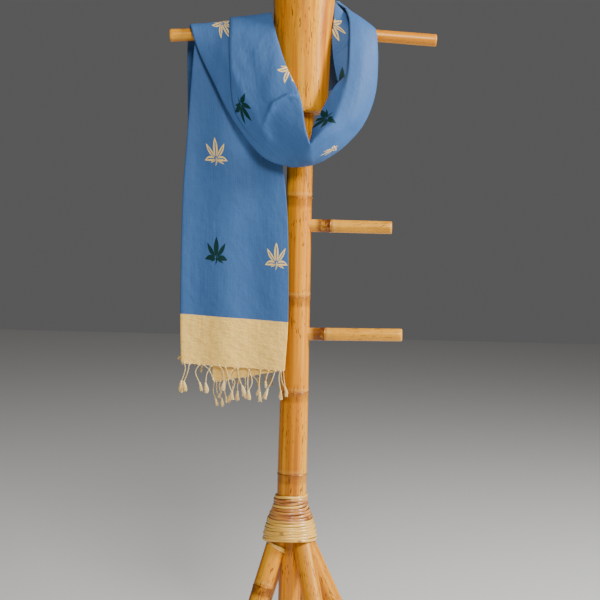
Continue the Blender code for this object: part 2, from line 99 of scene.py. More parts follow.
surround = bpy.data.worlds.new("surround")
surround.use_nodes = True
backdrop = surround.node_tree.nodes["Background"].inputs
backdrop["Color"].default_value = SURROUND_COLOUR
backdrop["Strength"].default_value = SURROUND_STRENGTH
bpy.context.scene.world = surround


# The bamboo: solid lengths cut with a saw, with a ridge and a groove at each node, darkened and flecked as
# they dried, then varnished. Every member is turned round its own axis, and its grain runs along it.
MM = 0.001  # one millimetre, in metres
NODE_RINGS = (
    # height from the node, rise, in millimetres
    (-9.0, 0.0), (-5.0, 0.2), (-2.2, 0.5), (-0.9, 0.85), (0.0, 0.85), (0.7, 0.35), (1.6, -0.25), (3.2, 0.25),
    (5.2, 0.40), (8.0, 0.1), (11.0, 0.0),
)
RING_PITCH = 11.0
RING_CLEAR, ROW_CLEAR = 13.0, 11.5  # how far plain rings, and the rows of the radii, keep from a node
END_BEVEL = 0.9
END_RINGS = (0.8, 0.45)  # the rings on a sawn end, as shares of its radius
NECK_RADII = ((1181, 38.0), (1184, 45.0), (1192, 49.3), (1225, 50.0), (1299, 52.0), (1391, 57.0), (1440, 59.0))
POST_RADII = ((0, 21.0), (404, 21.5), (424, 28.0), (514, 28.0), (841, 25.5), (1076, 24.0), (1180.7, 23.5))
POST_NODES = (497.0, 655.0, 837.0, 1025.0)
ORIGIN, UP = (0, 0, 0), (0, 0, 1)
STEM_TABLE = (
    # node, radii, bamboo nodes along it, sides, grain offset
    ("neck", NECK_RADII, (), 72, 1.3),
    ("post", POST_RADII, POST_NODES, 48, 2.2),
)
ROD_TABLE = (
    # node, from x, y, z, to x, y, z, radius at both ends, bamboo nodes along it, grain offset, how fair it is
    ("arm_left", -44.8, 0, 1333.1, -249, 0, 1320, 11.0, 12.0, (152.0,), 3.1, 0.4),
    ("arm_right", 44.8, 0, 1333.7, 249, 0, 1323, 11.0, 11.6, (), 5.7, 0.1),
    ("peg_upper", 16.3, -2.0, 972, 175, -22, 972, 12.0, 12.0, (45.0,), 7.9, 1.0),
    ("peg_lower", 17.7, -2.5, 766, 200, -28, 771, 12.0, 12.0, (38.0,), 9.3, 1.0),
)


def walled(work, lower, upper):
    """Closes the wall between two rings of points, counter-clockwise from above."""
    for i, j in enumerate([*range(1, len(lower)), 0]):
        work.faces.new((lower[i], lower[j], upper[j], upper[i]))


def stem_mesh(name, foot, head, radii, nodes, sides, flatness=0.006):
    """A closed bamboo member from foot to head, given as (height, radius) rows in millimetres along it."""
    foot, head = Vector(foot), Vector(head)
    heights, widths = zip(*radii)
    low, high = heights[0], heights[-1]
    plain = [round(z, 2) for z in np.arange(low + END_BEVEL, high - END_BEVEL, RING_PITCH)]
    rises = {z: 0.0 for z in plain if all(abs(z - n) > RING_CLEAR for n in nodes)}
    rows = [z for z in heights if low < z < high and all(abs(z - n) > ROW_CLEAR for n in nodes)]
    rises.update({round(z, 2): 0.0 for z in rows})
    rises.update({round(n + dz, 2): rise for n in nodes for dz, rise in NODE_RINGS})
    turn = (head - foot).to_track_quat("Z", "Y").to_matrix()
    work = bmesh.new()
    loops = []
    rows = [(low, -END_BEVEL), (low + END_BEVEL, 0.0)]
    rows += [(z, rises[z]) for z in sorted(rises) if low < z < high]
    rows += [(high - END_BEVEL, 0.0), (high, -END_BEVEL)]
    for z, rise in rows:
        radius = float(np.interp(z, heights, widths)) + rise
        loop = []
        for i in range(sides):
            a = 2 * math.pi * i / sides
            r = radius * (1 + flatness * (math.sin(2 * a + z / 170) + 0.6 * math.sin(3 * a + 1.7 + z / 90)))
            loop.append(work.verts.new(foot + turn @ Vector((r * math.cos(a), r * math.sin(a), z))))
        loops.append(loop)
    for lower, upper in zip(loops, loops[1:]):
        walled(work, lower, upper)
    for loop, way in ((loops[0], -1), (loops[-1], 1)):
        centre = sum((v.co for v in loop), Vector()) / sides
        rings = [loop]
        for share in END_RINGS:
            rings.append([work.verts.new(centre + (v.co - centre) * share) for v in loop])
            walled(work, *rings[-2:][::way])
        work.faces.new(rings[-1][::way])
    bmesh.ops.scale(work, vec=(MM, MM, MM), verts=work.verts)
    mesh = bpy.data.meshes.new(name)
    work.to_mesh(mesh)
    work.free()
    return mesh


def carry(mesh, domain="POINT", **values):
    """Stores numbers or places on a mesh, one for each of its points, corners or faces."""
    for name, numbers in values.items():
        kind, field = ("FLOAT_VECTOR", "vector") if np.ndim(numbers) == 2 else ("FLOAT", "value")
        mesh.attributes.new(name, kind, domain)
        mesh.attributes[name].data.foreach_set(field, np.ravel(numbers))


def grained(mesh, foot, head, nodes, offset, fair=0.0):
    """Stores where a member's points lie along its grain and from the next bamboo node, and how fair it is."""
    foot, head = Vector(foot) * MM, Vector(head) * MM
    turn = np.array((head - foot).to_track_quat("Z", "Y").to_matrix())
    points = (np.array([v.co for v in mesh.vertices]) - np.array(foot)) @ turn
    from_node = []
    for face in mesh.polygons:
        heights = points[list(face.vertices), 2]
        node = min((n * MM for n in nodes), key=lambda n: abs(heights.mean() - n), default=-9.0)
        from_node += list(heights - node)
    carry(mesh, grain=points + (0, 0, offset), fair=[fair] * len(points))
    carry(mesh, "CORNER", from_node=from_node)
    mesh.shade_smooth()
    mesh.set_sharp_from_angle(angle=math.radians(38))


def shown(mesh, finish, node):
    """Puts a finished mesh in the scene as the piece that stands for a node, in the finish of its slot."""
    mesh.materials.clear()
    mesh.materials.append(finish.material)
    piece = placed(mesh.name, mesh)
    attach(piece, "root")
    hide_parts(node)
    return piece


def put(socket, value):
    """Joins a socket to what a node gives, or sets it to a number, colour or place."""
    value = value.outputs[0] if isinstance(value, bpy.types.Node) else getattr(value, "socket", value)
    if isinstance(value, bpy.types.NodeSocket):
        socket.id_data.links.new(value, socket)
    else:
        socket.default_value = value


class Value:
    """What a node gives. It is reckoned with like a number, and each step adds a node to its tree."""

    def __init__(self, socket):
        self.socket = socket

    def math(self, operation, *others):
        made = self.socket.id_data.nodes.new("ShaderNodeMath")
        made.operation = operation
        for socket, value in zip(made.inputs, (self, *others)):
            put(socket, value)
        return Value(made.outputs[0])

    __add__ = partialmethod(math, "ADD")
    __sub__ = partialmethod(math, "SUBTRACT")
    __mul__ = partialmethod(math, "MULTIPLY")
    __truediv__ = partialmethod(math, "DIVIDE")
    __gt__ = partialmethod(math, "GREATER_THAN")
    __abs__ = partialmethod(math, "ABSOLUTE")
    or_more = partialmethod(math, "MAXIMUM")

    def __rsub__(self, whole):
        return self * -1.0 + whole

    def clamped(self):
        self.socket.node.use_clamp = True
        return self

    def ramp(self, *stops):
        """A smooth change between (place, number or colour) stops."""
        made = self.socket.id_data.nodes.new("ShaderNodeValToRGB")
        put(made.inputs[0], self)
        marks = made.color_ramp.elements
        while len(marks) < len(stops):
            marks.new(0.5)
        for mark, (place, value) in zip(marks, stops):
            mark.position = place
            colour = value if hasattr(value, "__len__") else (value,) * 3
            mark.color = (*colour, 1.0)
        return Value(made.outputs[0])

    def bump(self, strength, distance, under=(0, 0, 0)):
        made = self.socket.id_data.nodes.new("ShaderNodeBump")
        values = {"Height": self, "Strength": strength, "Distance": distance, "Normal": under}
        for name, value in values.items():
            put(made.inputs[name], value)
        return Value(made.outputs[0])


class Finish:
    """A new material for a slot, whose nodes are added and joined in a few words."""

    family = "ShaderNode"

    def __init__(self, slot):
        self.slot = slot
        self.material = bpy.data.materials.new(slot)
        self.material.use_nodes = True
        self.tree = self.material.node_tree

    def node(self, kind, settings=None, **inputs):
        """A new node. Its inputs go by name, or by number with a low line before it."""
        made = self.tree.nodes.new(kind if "Node" in kind else self.family + kind)
        for key, value in (settings or {}).items():
            setattr(made, key, value)
        for key, value in inputs.items():
            name = key.replace("_", " ")
            put(made.inputs[name if name in made.inputs else int(name)], value)
        return made

    def surface(self, **inputs):
        for key, value in inputs.items():
            put(self.tree.nodes["Principled BSDF"].inputs[key.replace("_", " ")], value)

    def attribute(self, name, output="Fac"):
        return Value(self.node("Attribute", {"attribute_name": name}).outputs[output])

    def noise(self, vector, scale, detail=2.0, rough=0.5):
        """Cloudy noise. A scale of three numbers stretches it."""
        if isinstance(scale, tuple):
            vector, scale = self.node("Mapping", Vector=vector, Scale=scale), 1.0
        made = self.node("TexNoise", Vector=vector, Scale=scale, Detail=detail, Roughness=rough)
        return Value(made.outputs["Fac"])

    def mix(self, factor, a, b, blend="MIX"):
        a, b = ((*value, 1.0) if isinstance(value, tuple) else value for value in (a, b))
        settings = {"data_type": "RGBA", "blend_type": blend}
        return Value(self.node("Mix", settings, _0=factor, _6=a, _7=b).outputs[2])

    def layered(self, colour, *layers):
        """A colour with others laid over it, each where its mask is."""
        for mask, over in layers:
            colour = self.mix(mask, colour, over)
        return colour


bamboo = Finish("honey_bamboo")
place = bamboo.attribute("grain", "Vector")
joint, fair = bamboo.attribute("from_node"), bamboo.attribute("fair")
fibre = bamboo.noise(place, (800.0, 800.0, 14.0), 3.0, 0.6)
streak = bamboo.noise(place, (95.0, 95.0, 1.8))
blotch = bamboo.noise(place, (30.0, 30.0, 9.0), 3.0, 0.6)
fleck = bamboo.noise(place, (420.0, 420.0, 62.0), 1.0)
flecked = bamboo.noise(place, (22.0, 22.0, 13.0), 1.0)
ragged = bamboo.noise(place, (52.0, 52.0, 80.0), 4.0, 0.65)
dash = fleck.ramp((0.62, 0.0), (0.67, 1.0)) * flecked.ramp((0.44, 0.0), (0.56, 1.0))
near = joint * (fair * -4.0 + 14.0) + 0.5
band = near.ramp((0.20, 0.0), (0.30, 0.85), (0.49, 1.0), (0.51, 0.30), (0.75, 0.0))
band = band * ragged.ramp((0.30, 0.40), (0.48, 1.0)) * (fair * 1.6 + 0.45).clamped()
scar = (joint * 160.0 + 0.5).ramp((0.30, 0.0), (0.52, 1.0), (0.60, 1.0), (0.85, 0.0))
colour = bamboo.layered(
    streak.ramp((0.28, (0.47, 0.135, 0.001)), (0.50, (0.74, 0.265, 0.003)), (0.74, (0.90, 0.43, 0.022))),
    (fair * 0.6, (0.99, 0.50, 0.045)),
    (fibre.ramp((0.42, 0.0), (0.80, 0.40)), (0.42, 0.125, 0.002)),
    (blotch.ramp((0.54, 0.0), (0.76, 0.55)), (0.40, 0.115, 0.004)),
    (dash * 0.75, (0.13, 0.030, 0.002)),
    (band, (0.12, 0.022, 0.004)),
    (near.ramp((0.52, 0.0), (0.58, 0.15), (0.66, 0.0)), (0.95, 0.60, 0.18)),
    (scar * ragged.ramp((0.38, 0.15), (0.55, 0.85)), (0.16, 0.045, 0.006)),
)
bamboo.surface(Base_Color=colour, Roughness=blotch.ramp((0.3, 0.30), (0.8, 0.46)),
               Normal=fibre.bump(0.12, 0.0003, blotch.bump(0.25, 0.002)),
               Coat_Weight=0.27, Coat_Roughness=0.23, Coat_IOR=1.5, Specular_IOR_Level=0.2)

for name, radii, nodes, sides, offset in STEM_TABLE:
    mesh = stem_mesh(f"{name}_bamboo", ORIGIN, UP, radii, nodes, sides)
    grained(mesh, ORIGIN, UP, nodes, offset)
    shown(mesh, bamboo, name)

for name, x0, y0, z0, x1, y1, z1, root_radius, end_radius, nodes, offset, fair in ROD_TABLE:
    foot, head = (x0, y0, z0), (x1, y1, z1)
    length = (Vector(head) - Vector(foot)).length
    radii = ((0.0, root_radius), (length - 2.0, end_radius), (length, end_radius - 0.8))
    mesh = stem_mesh(f"{name}_bamboo", foot, head, radii, nodes, 36, 0.012)
    grained(mesh, foot, head, nodes, offset, fair)
    shown(mesh, bamboo, name)


# The legs: five thinner culms that lean on the post, mitred against each other and notched round the post
# inside the binding, and sawn level at the floor.
LEG_LINES = (
    # where it leans, in degrees round the post, how far its middle line passes beside the post's, extra reach,
    # places of its bamboo nodes along it
    (231.0, -13.0, 0.0, (315.0,)),
    (297.0, 13.0, 0.0, (196.0,)),
    (8.0, 4.0, 1.5, (96.0, 262.0)),
    (70.0, 0.0, 0.0, (212.0,)),
    (125.0, 0.0, 0.0, (128.0,)),
)
LEGS = len(LEG_LINES)
LEG_RADIUS = 18.5
LEG_FAIR = 0.25
LEG_SPLAY = 0.475
LEG_FROM_POST = 32.6
LEG_TOP = 400.0
LEG_SPARE = 40.0  # what is sawn off at each end
NODES_FROM = 44.0  # from the unsawn foot to where the places of a leg's nodes are counted from
MITRE_GAP = 0.00015
NOTCH_RADII = ((-5.0, 21.4), (404.0, 21.9), (424.0, 28.4), (460.0, 28.4))  # the post's, with a little room
BINDING_FOOT = 357.0


def leg_point(number, z):
    leans, beside, reach = LEG_LINES[number][:3]
    angle = math.radians(leans)
    out = LEG_FROM_POST + reach + LEG_SPLAY * (BINDING_FOOT - 6.0 - z)
    return Vector((math.cos(angle) * out - math.sin(angle) * beside,
                   math.sin(angle) * out + math.cos(angle) * beside, z))


def mitre_angle(number, side):
    """The bearing, from the post, of the joint between a leg and the next one on that side."""
    here, there = leg_point(number, BINDING_FOOT), leg_point((number + side) % LEGS, BINDING_FOOT)
    start, end = math.atan2(here.y, here.x), math.atan2(there.y, there.x)
    return start + side * ((end - start) * side % (2 * math.pi)) / 2


def sawn(mesh, point, normal):
    """Takes off what lies on the side that the normal points to, and closes the cut."""
    work = bmesh.new()
    work.from_mesh(mesh)
    found = bmesh.ops.bisect_plane(work, geom=work.verts[:] + work.edges[:] + work.faces[:],
                                   plane_co=point, plane_no=normal, clear_outer=True)
    edges = [e for e in found["geom_cut"] if isinstance(e, bmesh.types.BMEdge)]
    bmesh.ops.holes_fill(work, edges=edges, sides=0)
    work.to_mesh(mesh)
    work.free()


def worked(mesh, kind, **settings):
    """The plain mesh that a modifier makes of a mesh, whose place and name it takes."""
    blank = placed("blank", mesh)
    tool = blank.modifiers.new("tool", kind)
    for key, value in settings.items():
        if hasattr(tool, key):
            setattr(tool, key, value)
        else:
            tool[key] = value
    made = bpy.data.meshes.new_from_object(blank.evaluated_get(bpy.context.evaluated_depsgraph_get()))
    name = mesh.name
    bpy.data.objects.remove(blank)
    bpy.data.meshes.remove(mesh)
    made.name = name
    return made


post_notch = placed("post_notch", stem_mesh("post_notch", ORIGIN, UP, NOTCH_RADII, (), 48))
for number, (*_, nodes) in enumerate(LEG_LINES):
    foot, head = leg_point(number, -LEG_SPARE), leg_point(number, LEG_TOP + LEG_SPARE)
    nodes = [n + NODES_FROM for n in nodes]
    radii = ((0.0, LEG_RADIUS + 0.6), ((head - foot).length, LEG_RADIUS))
    mesh = stem_mesh(f"leg_{number + 1}_bamboo", foot, head, radii, nodes, 40)
    sawn(mesh, ORIGIN, (0, 0, -1))
    sawn(mesh, (0, 0, LEG_TOP * MM), UP)
    for side in (-1, 1):
        edge = mitre_angle(number, side)
        outward = Vector((-math.sin(edge) * side, math.cos(edge) * side, 0.0))
        sawn(mesh, -outward * MITRE_GAP, outward)
    mesh = worked(mesh, "BOOLEAN", operation="DIFFERENCE", solver="EXACT", object=post_notch)
    grained(mesh, foot, head, nodes, 11.0 + 1.7 * number, LEG_FAIR)
    shown(mesh, bamboo, f"leg_{number + 1}")
bpy.data.objects.remove(post_notch)


# The binding: one long strand of split rattan, half round, wound from the legs up to the post. Some of its
# turns still wear the brown bark of the cane, and its tail is drawn down across a leg and in behind it.
BINDING_RADII = (
    # height, radius, and how far its middle lies from the post's, towards the pegs
    (BINDING_FOOT, 51.6, -1.5), (360, 52.7, -1.5), (368, 52.6, -1.5), (379, 51.6, -1.5), (393, 48.8, -1.5),
    (402, 46.6, -1.5), (411, 43.8, -1.5), (420, 39.9, -1.5), (430, 35.6, -1.4), (441, 33.0, -1.6),
    (449, 32.6, -1.6), (454, 31.6, -0.8), (458, 30.6, -0.3),
)
STRAND_WIDTH = 6.7
STRAND_THICKNESS = 2.4
STRAND_SIDES = 7  # points over its round side
TAIL_GIRTH = 0.82
TAIL_STEPS, TAIL_CLEAR = 40, 0.3
TAIL_BEARINGS, TAIL_HEIGHTS = (-100.0, 150.0), (377.0, 341.0)  # round the leg in degrees, and down it
FIRST_TURN, LAST_TURN = 368.2, 457.2
FIRST_ANGLE = 2.6
FRONT_RISE = 9.0  # how far the lowest turns rise at the front
RISE_ENDS, RISE_FADES = 397.0, 32.0  # the height up to which they do, and over how much of it the rise fades
SECOND_TAIL = (0.0, 0.0, 4.6)  # from the tail's second strand up to the first
TURNS = 16
STEPS_A_TURN = 60
BARK = (
    # height, and how much of the turns there wears its bark
    (BINDING_FOOT, 0.0), (408, 0.0), (411, 1.0), (431, 1.0), (433, 0.0), (436.5, 0.0), (438, 1.0), (449, 1.0),
    (451.5, 0.0),
)
STRAND_NODES = (0.4, 1.8, 3.29, 4.9, 6.6, 8.49, 10.6, 13.1)  # turns at which the cane has a node
FAR = 500.0  # from the next node, where there is none


def unit(vectors):
    return vectors / np.maximum(np.linalg.norm(vectors, axis=-1, keepdims=True), 1e-9)


class Group(Finish):
    """A new group of nodes, given its inputs and outputs as names and kinds."""

    kind = "ShaderNodeTree"

    def __init__(self, name, inputs, outputs):
        self.tree = bpy.data.node_groups.new(name, self.kind)
        for way, sockets in (("OUTPUT", outputs), ("INPUT", inputs)):
            for title, kind in sockets.items():
                self.tree.interface.new_socket(title, in_out=way, socket_type=f"NodeSocket{kind}")
        self.inlet = self.tree.nodes.new("NodeGroupInput")
        self.outlet = self.tree.nodes.new("NodeGroupOutput")

    def __getitem__(self, name):
        return Value(self.inlet.outputs[name])

    def gives(self, **outputs):
        for name, value in outputs.items():
            put(self.outlet.inputs[name], value)


class Form(Group):
    """A new tree of geometry nodes that makes a piece of lines. Its sizes, in metres, are its named inputs."""

    family = "GeometryNode"
    kind = "GeometryNodeTree"

    def __init__(self, name, sizes, counts=()):
        wanted = dict.fromkeys(sizes, "Float") | dict.fromkeys(counts, "Int")
        super().__init__(name, {"Lines": "Geometry", "Finish": "Material", **wanted}, {"Piece": "Geometry"})

    def carried(self, name, kind="FLOAT"):
        """What the lines carry under that name."""
        made = self.node("InputNamedAttribute", {"data_type": kind}, Name=name)
        return Value(next(socket for socket in made.outputs if socket.enabled))

    def xyz(self, x=0.0, y=0.0, z=0.0):
        return self.node("ShaderNodeCombineXYZ", X=x, Y=y, Z=z)

    def ends_in(self, piece):
        real = self.node("RealizeInstances", Geometry=piece)
        self.gives(Piece=self.node("SetMaterial", Geometry=real, Material=self["Finish"]))

    def made(self, name, lines, finish, **sizes):
        """The plain mesh that the tree makes of these lines at these sizes."""
        sizes = {key.replace("_", " "): value for key, value in sizes.items()} | {"Finish": finish.material}
        wanted = [socket for socket in self.tree.interface.items_tree if socket.name in sizes]
        lines.name = name
        mesh = worked(lines, "NODES", node_group=self.tree, **{s.identifier: sizes[s.name] for s in wanted})
        work = bmesh.new()
        work.from_mesh(mesh)
        bmesh.ops.recalc_face_normals(work, faces=work.faces[:])
        work.to_mesh(mesh)
        work.free()
        mesh.shade_smooth()
        return mesh


def lines_mesh(lines, **carried):
    """A mesh of plain lines through points, in millimetres, with what their points carry."""
    edges, first = [], 0
    for line in lines:
        edges += [(first + k, first + k + 1) for k in range(len(line) - 1)]
        first += len(line)
    mesh = bpy.data.meshes.new("lines")
    mesh.from_pydata((np.concatenate(lines) * MM).tolist(), edges, [])
    carry(mesh, **carried)
    return mesh


strand = Form("rattan_strand", ("Width", "Thickness"))
line = strand.node("MeshToCurve", Mesh=strand["Lines"])
outward = strand.carried("outward", "FLOAT_VECTOR")
line = strand.node("SetCurveNormal", {"mode": "FREE"}, Curve=line, Normal=outward)
half = strand.node("CurveArc", Resolution=STRAND_SIDES, Radius=1.0, Start_Angle=-math.pi / 2,
                   Sweep_Angle=math.pi)
half = strand.node("SetSplineCyclic", Geometry=half, Cyclic=True)
across = strand.xyz(strand["Thickness"], strand["Width"] / 2.0, 1.0)
half = strand.node("Transform", Geometry=half, Scale=across)
strand.ends_in(strand.node("CurveToMesh", Curve=line, Profile_Curve=half, Scale=strand.carried("girth"),
                           Fill_Caps=True))

turn = np.linspace(0.0, TURNS, TURNS * STEPS_A_TURN + 1)
angle = 2 * math.pi * turn + FIRST_ANGLE
level = FIRST_TURN + (LAST_TURN - FIRST_TURN) * turn / TURNS
low_down = np.clip((RISE_ENDS - level) / RISE_FADES, 0.0, 1.0)
level = level + FRONT_RISE * np.clip(-np.sin(angle), 0.0, 1.0) * low_down
# No two turns lie quite alike.
level = level + 1.1 * np.sin(angle + 0.6 * turn) + 0.55 * np.sin(3 * angle + 1.7 * turn)
profile_z, profile_radius, profile_middle = zip(*BINDING_RADII)
width_at = np.interp(level, profile_z, profile_radius)
heights = np.arange(profile_z[0], profile_z[-1] + 3)
slope = np.interp(level, heights, np.gradient(np.interp(heights, profile_z, profile_radius)))
lift = 0.55 * np.sin(2.3 * angle + 1.7 * turn) - STRAND_THICKNESS
round_post = np.stack([np.cos(angle), np.sin(angle), np.zeros_like(angle)], axis=1)
wound = round_post * (width_at + lift)[:, None]
wound[:, 0] += np.interp(level, profile_z, profile_middle)
wound[:, 2] = level
facing = unit(round_post - np.outer(slope, (0, 0, 1)))

# The tail goes round the first leg, which is a round stick that leans.
bearing = np.radians(np.linspace(*TAIL_BEARINGS, TAIL_STEPS))
lean = math.atan(LEG_SPLAY)
leg_turn = math.radians(LEG_LINES[0][0] + 90.0)
reach = (LEG_RADIUS + TAIL_CLEAR) / np.sqrt(1 - (math.sin(lean) * np.cos(bearing - leg_turn)) ** 2)
side = np.stack([np.sin(bearing), -np.cos(bearing), np.zeros_like(bearing)], axis=1)
tail = np.array([leg_point(0, z) for z in np.linspace(*TAIL_HEIGHTS, TAIL_STEPS)]) + side * reach[:, None]
paths, facings = [wound, tail, tail - SECOND_TAIL], [facing, side, side]
points = sum(map(len, paths))
girth = np.full(points, TAIL_GIRTH)
girth[:len(wound)] = 1.0 + 0.07 * np.sin(2.9 * turn + 1.0) * np.sin(7.3 * turn)

rattan = Finish("rattan")
mesh = strand.made("rattan_binding", lines_mesh(paths, outward=np.concatenate(facings), girth=girth), rattan,
                   Width=STRAND_WIDTH * MM, Thickness=STRAND_THICKNESS * MM)
# What the shader needs: the place along the strand, over its round side, from its next node, and the bark.
run = np.concatenate([np.cumsum(np.linalg.norm(np.diff(p, axis=0, prepend=p[:1]), axis=1)) for p in paths])
places = np.append(np.interp(STRAND_NODES, turn, run[:len(wound)]), -FAR)
from_node = run - places[np.abs(run[:, None] - places).argmin(axis=1)]
from_node[len(wound):] = FAR
bark = np.append(np.interp(level, *zip(*BARK)), np.zeros(points - len(wound)))
sides = np.linspace(-math.pi / 2, math.pi / 2, STRAND_SIDES)
grain = [np.tile(np.sin(sides) * STRAND_WIDTH / 2, points), np.tile(np.cos(sides) * STRAND_THICKNESS, points),
         np.repeat(run, STRAND_SIDES)]
carry(mesh, grain=np.stack(grain, axis=1) * MM, from_node=np.repeat(from_node, STRAND_SIDES) * MM,
      bark=np.repeat(bark, STRAND_SIDES))

place = rattan.attribute("grain", "Vector")
joint, bark = rattan.attribute("from_node"), rattan.attribute("bark")
fibre = rattan.noise(place, (1400.0, 1400.0, 30.0), 2.0, 0.6)
patch = rattan.noise(place, (160.0, 160.0, 26.0), 3.0, 0.6)
brown = patch.ramp((0.32, (0.27, 0.060, 0.008)), (0.50, (0.53, 0.165, 0.024)), (0.68, (0.76, 0.32, 0.060)))
mark = (joint * 45.0 + 0.5).ramp((0.14, 0.0), (0.34, 0.8), (0.53, 1.0), (0.66, 0.0))
# Painted shade: each turn of the strand is darker along both of its sides, in the grooves where it meets the
# turns beside it.
edge = abs(Value(rattan.node("SeparateXYZ", Vector=place).outputs["X"])) * 300.0
colour = rattan.layered(
    fibre.ramp((0.30, (0.80, 0.38, 0.032)), (0.55, (0.97, 0.54, 0.068)), (0.80, (1.0, 0.66, 0.13))),
    (bark * patch.ramp((0.30, 1.0), (0.70, 0.72)), brown),
    (patch.ramp((0.62, 0.0), (0.74, 0.55)), (0.36, 0.16, 0.06)),
    (mark * fibre.ramp((0.4, 0.5), (0.6, 1.0)), (0.20, 0.055, 0.012)),
    (edge.ramp((0.60, 0.0), (0.86, 0.85)), (0.16, 0.06, 0.015)),
)
rattan.surface(Base_Color=colour, Roughness=patch.ramp((0.3, 0.34), (0.7, 0.50)),
               Normal=fibre.bump(0.35, 0.0004), Coat_Weight=0.65, Coat_Roughness=0.18)
shown(mesh, rattan, "binding")


# The stole's front end: one length of handwoven silk with both sides folded in behind like a letter, so that
# it shows a soft fold at each side. It hangs from the left arm, and leaf motifs are woven into it.
OVER_ARM = 16.4
ARM_AXIS, ARM_RISE = 1336.0, 16.0 / 249.0  # height of the left arm's middle line, and its rise for each mm of x
PANEL_WIDTH = 195.0
LAYER = 1.6  # from one layer of the folded stole to the next
CLOTH = 0.8
RIGHT_FLAP = 0.70
LEFT_FLAP = 0.92
FLAP_DROP = 33.0
FLAP_RISE = 14.0
FLAP_BACK = 12.0
FLAP_CORNER = 9.0
WAVE, RIPPLE = 2.7, 0.7  # how far the panel's soft folds, and its ripples, stand out
FRONT_ROWS = (
    # z_left, z_right, x_left, x_right, y_left, y_right
    (707, 698, -214, -20, -19.0, -28.0),
    (800, 790, -217, -16, -19.0, -28.0),
    (907, 907, -217.5, -18, -19.0, -28.0),
    (989, 989, -217, -22, -19.0, -28.0),
    (1049, 1049, -215.5, -28, -19.0, -27.5),
    (1100, 1100, -212.5, -37, -18.0, -26.0),
    (1187, 1187, -207.5, -55, -17.4, -23.0),
    (1288, 1288, -201.5, -61, -OVER_ARM, -17.5),
    (1323, 1332, -197.5, -62, -OVER_ARM, -OVER_ARM),
)
ARM_ROW = len(FRONT_ROWS) - 1
MOTIF_REACH = 42.0
FRONT_LEAVES = (
    # x and z of the leaf's hub, where it points in degrees clockwise from up, tone: 1 cream, 2 green, and the
    # bearing along which it shows narrowed, as the cloth turns away, with the share that shows, and its size
    (-157, 1092, 0.0, 1),
    (-153, 907, 1.0, 2),
    (-40, 900, -1.0, 1),
    (-50, 1098, 2.0, 2),
)
FACE_COLUMNS = (32, 80)  # the part of the folded section that is its front
NO_LEAF = 99.0  # where the leaf's map puts what is far from any leaf


def between(rows, t):
    """The point at t of a smooth line (Catmull-Rom) through the rows, where each row is one step."""
    rows = np.asarray(rows, float)
    k = min(int(t), len(rows) - 2)
    u = t - k
    a, b, c, d = np.concatenate([[2 * rows[0] - rows[1]], rows, [2 * rows[-1] - rows[-2]]])[k:k + 4]
    return 0.5 * (2 * b + (c - a) * u + (2 * a - 5 * b + 4 * c - d) * u**2 + (3 * b - a - 3 * c + d) * u**3)


def along(rows, per):
    """The smooth line through the rows, with this many steps from each to the next."""
    return np.array([between(rows, t) for t in np.linspace(0, len(rows) - 1, per * (len(rows) - 1) + 1)])


def leaf_at(grid, flat, corners, first, last, x, z, pointing, away=0.0, share=1.0, size=1.0):
    """Where a sheet's corners lie in a leaf's own place and turn, and which of its faces are near the leaf."""
    part = grid[1:-1, first:last]
    r, c = np.unravel_index(np.argmin(np.hypot(part[..., 0] - x, part[..., 2] - z)), part.shape[:2])
    r, c = r + 1, min(max(c + first, 1), grid.shape[1] - 2)
    onward = (grid[r + 1, c] - grid[r - 1, c]) / (flat[r + 1, c, 1] - flat[r - 1, c, 1])
    ways = np.stack([unit(grid[r, c + 1] - grid[r, c - 1]), unit(onward)])[:, [0, 2]]
    off_hub = (x - grid[r, c, 0], z - grid[r, c, 2])
    seen = (corners - flat[r, c]) * (1.0, np.linalg.norm(onward)) @ ways - off_hub
    for bearing, ratio in ((away, share), (pointing, 1.0)):
        turn = math.radians(bearing)
        onto = np.array(((math.cos(turn), -math.sin(turn)), (math.sin(turn), math.cos(turn))))
        turned = seen @ onto.T / (1.0, ratio)
        seen = turned @ onto
    turned = turned / size
    return turned, np.hypot(*turned.reshape(-1, 4, 2).mean(axis=1).T) < MOTIF_REACH


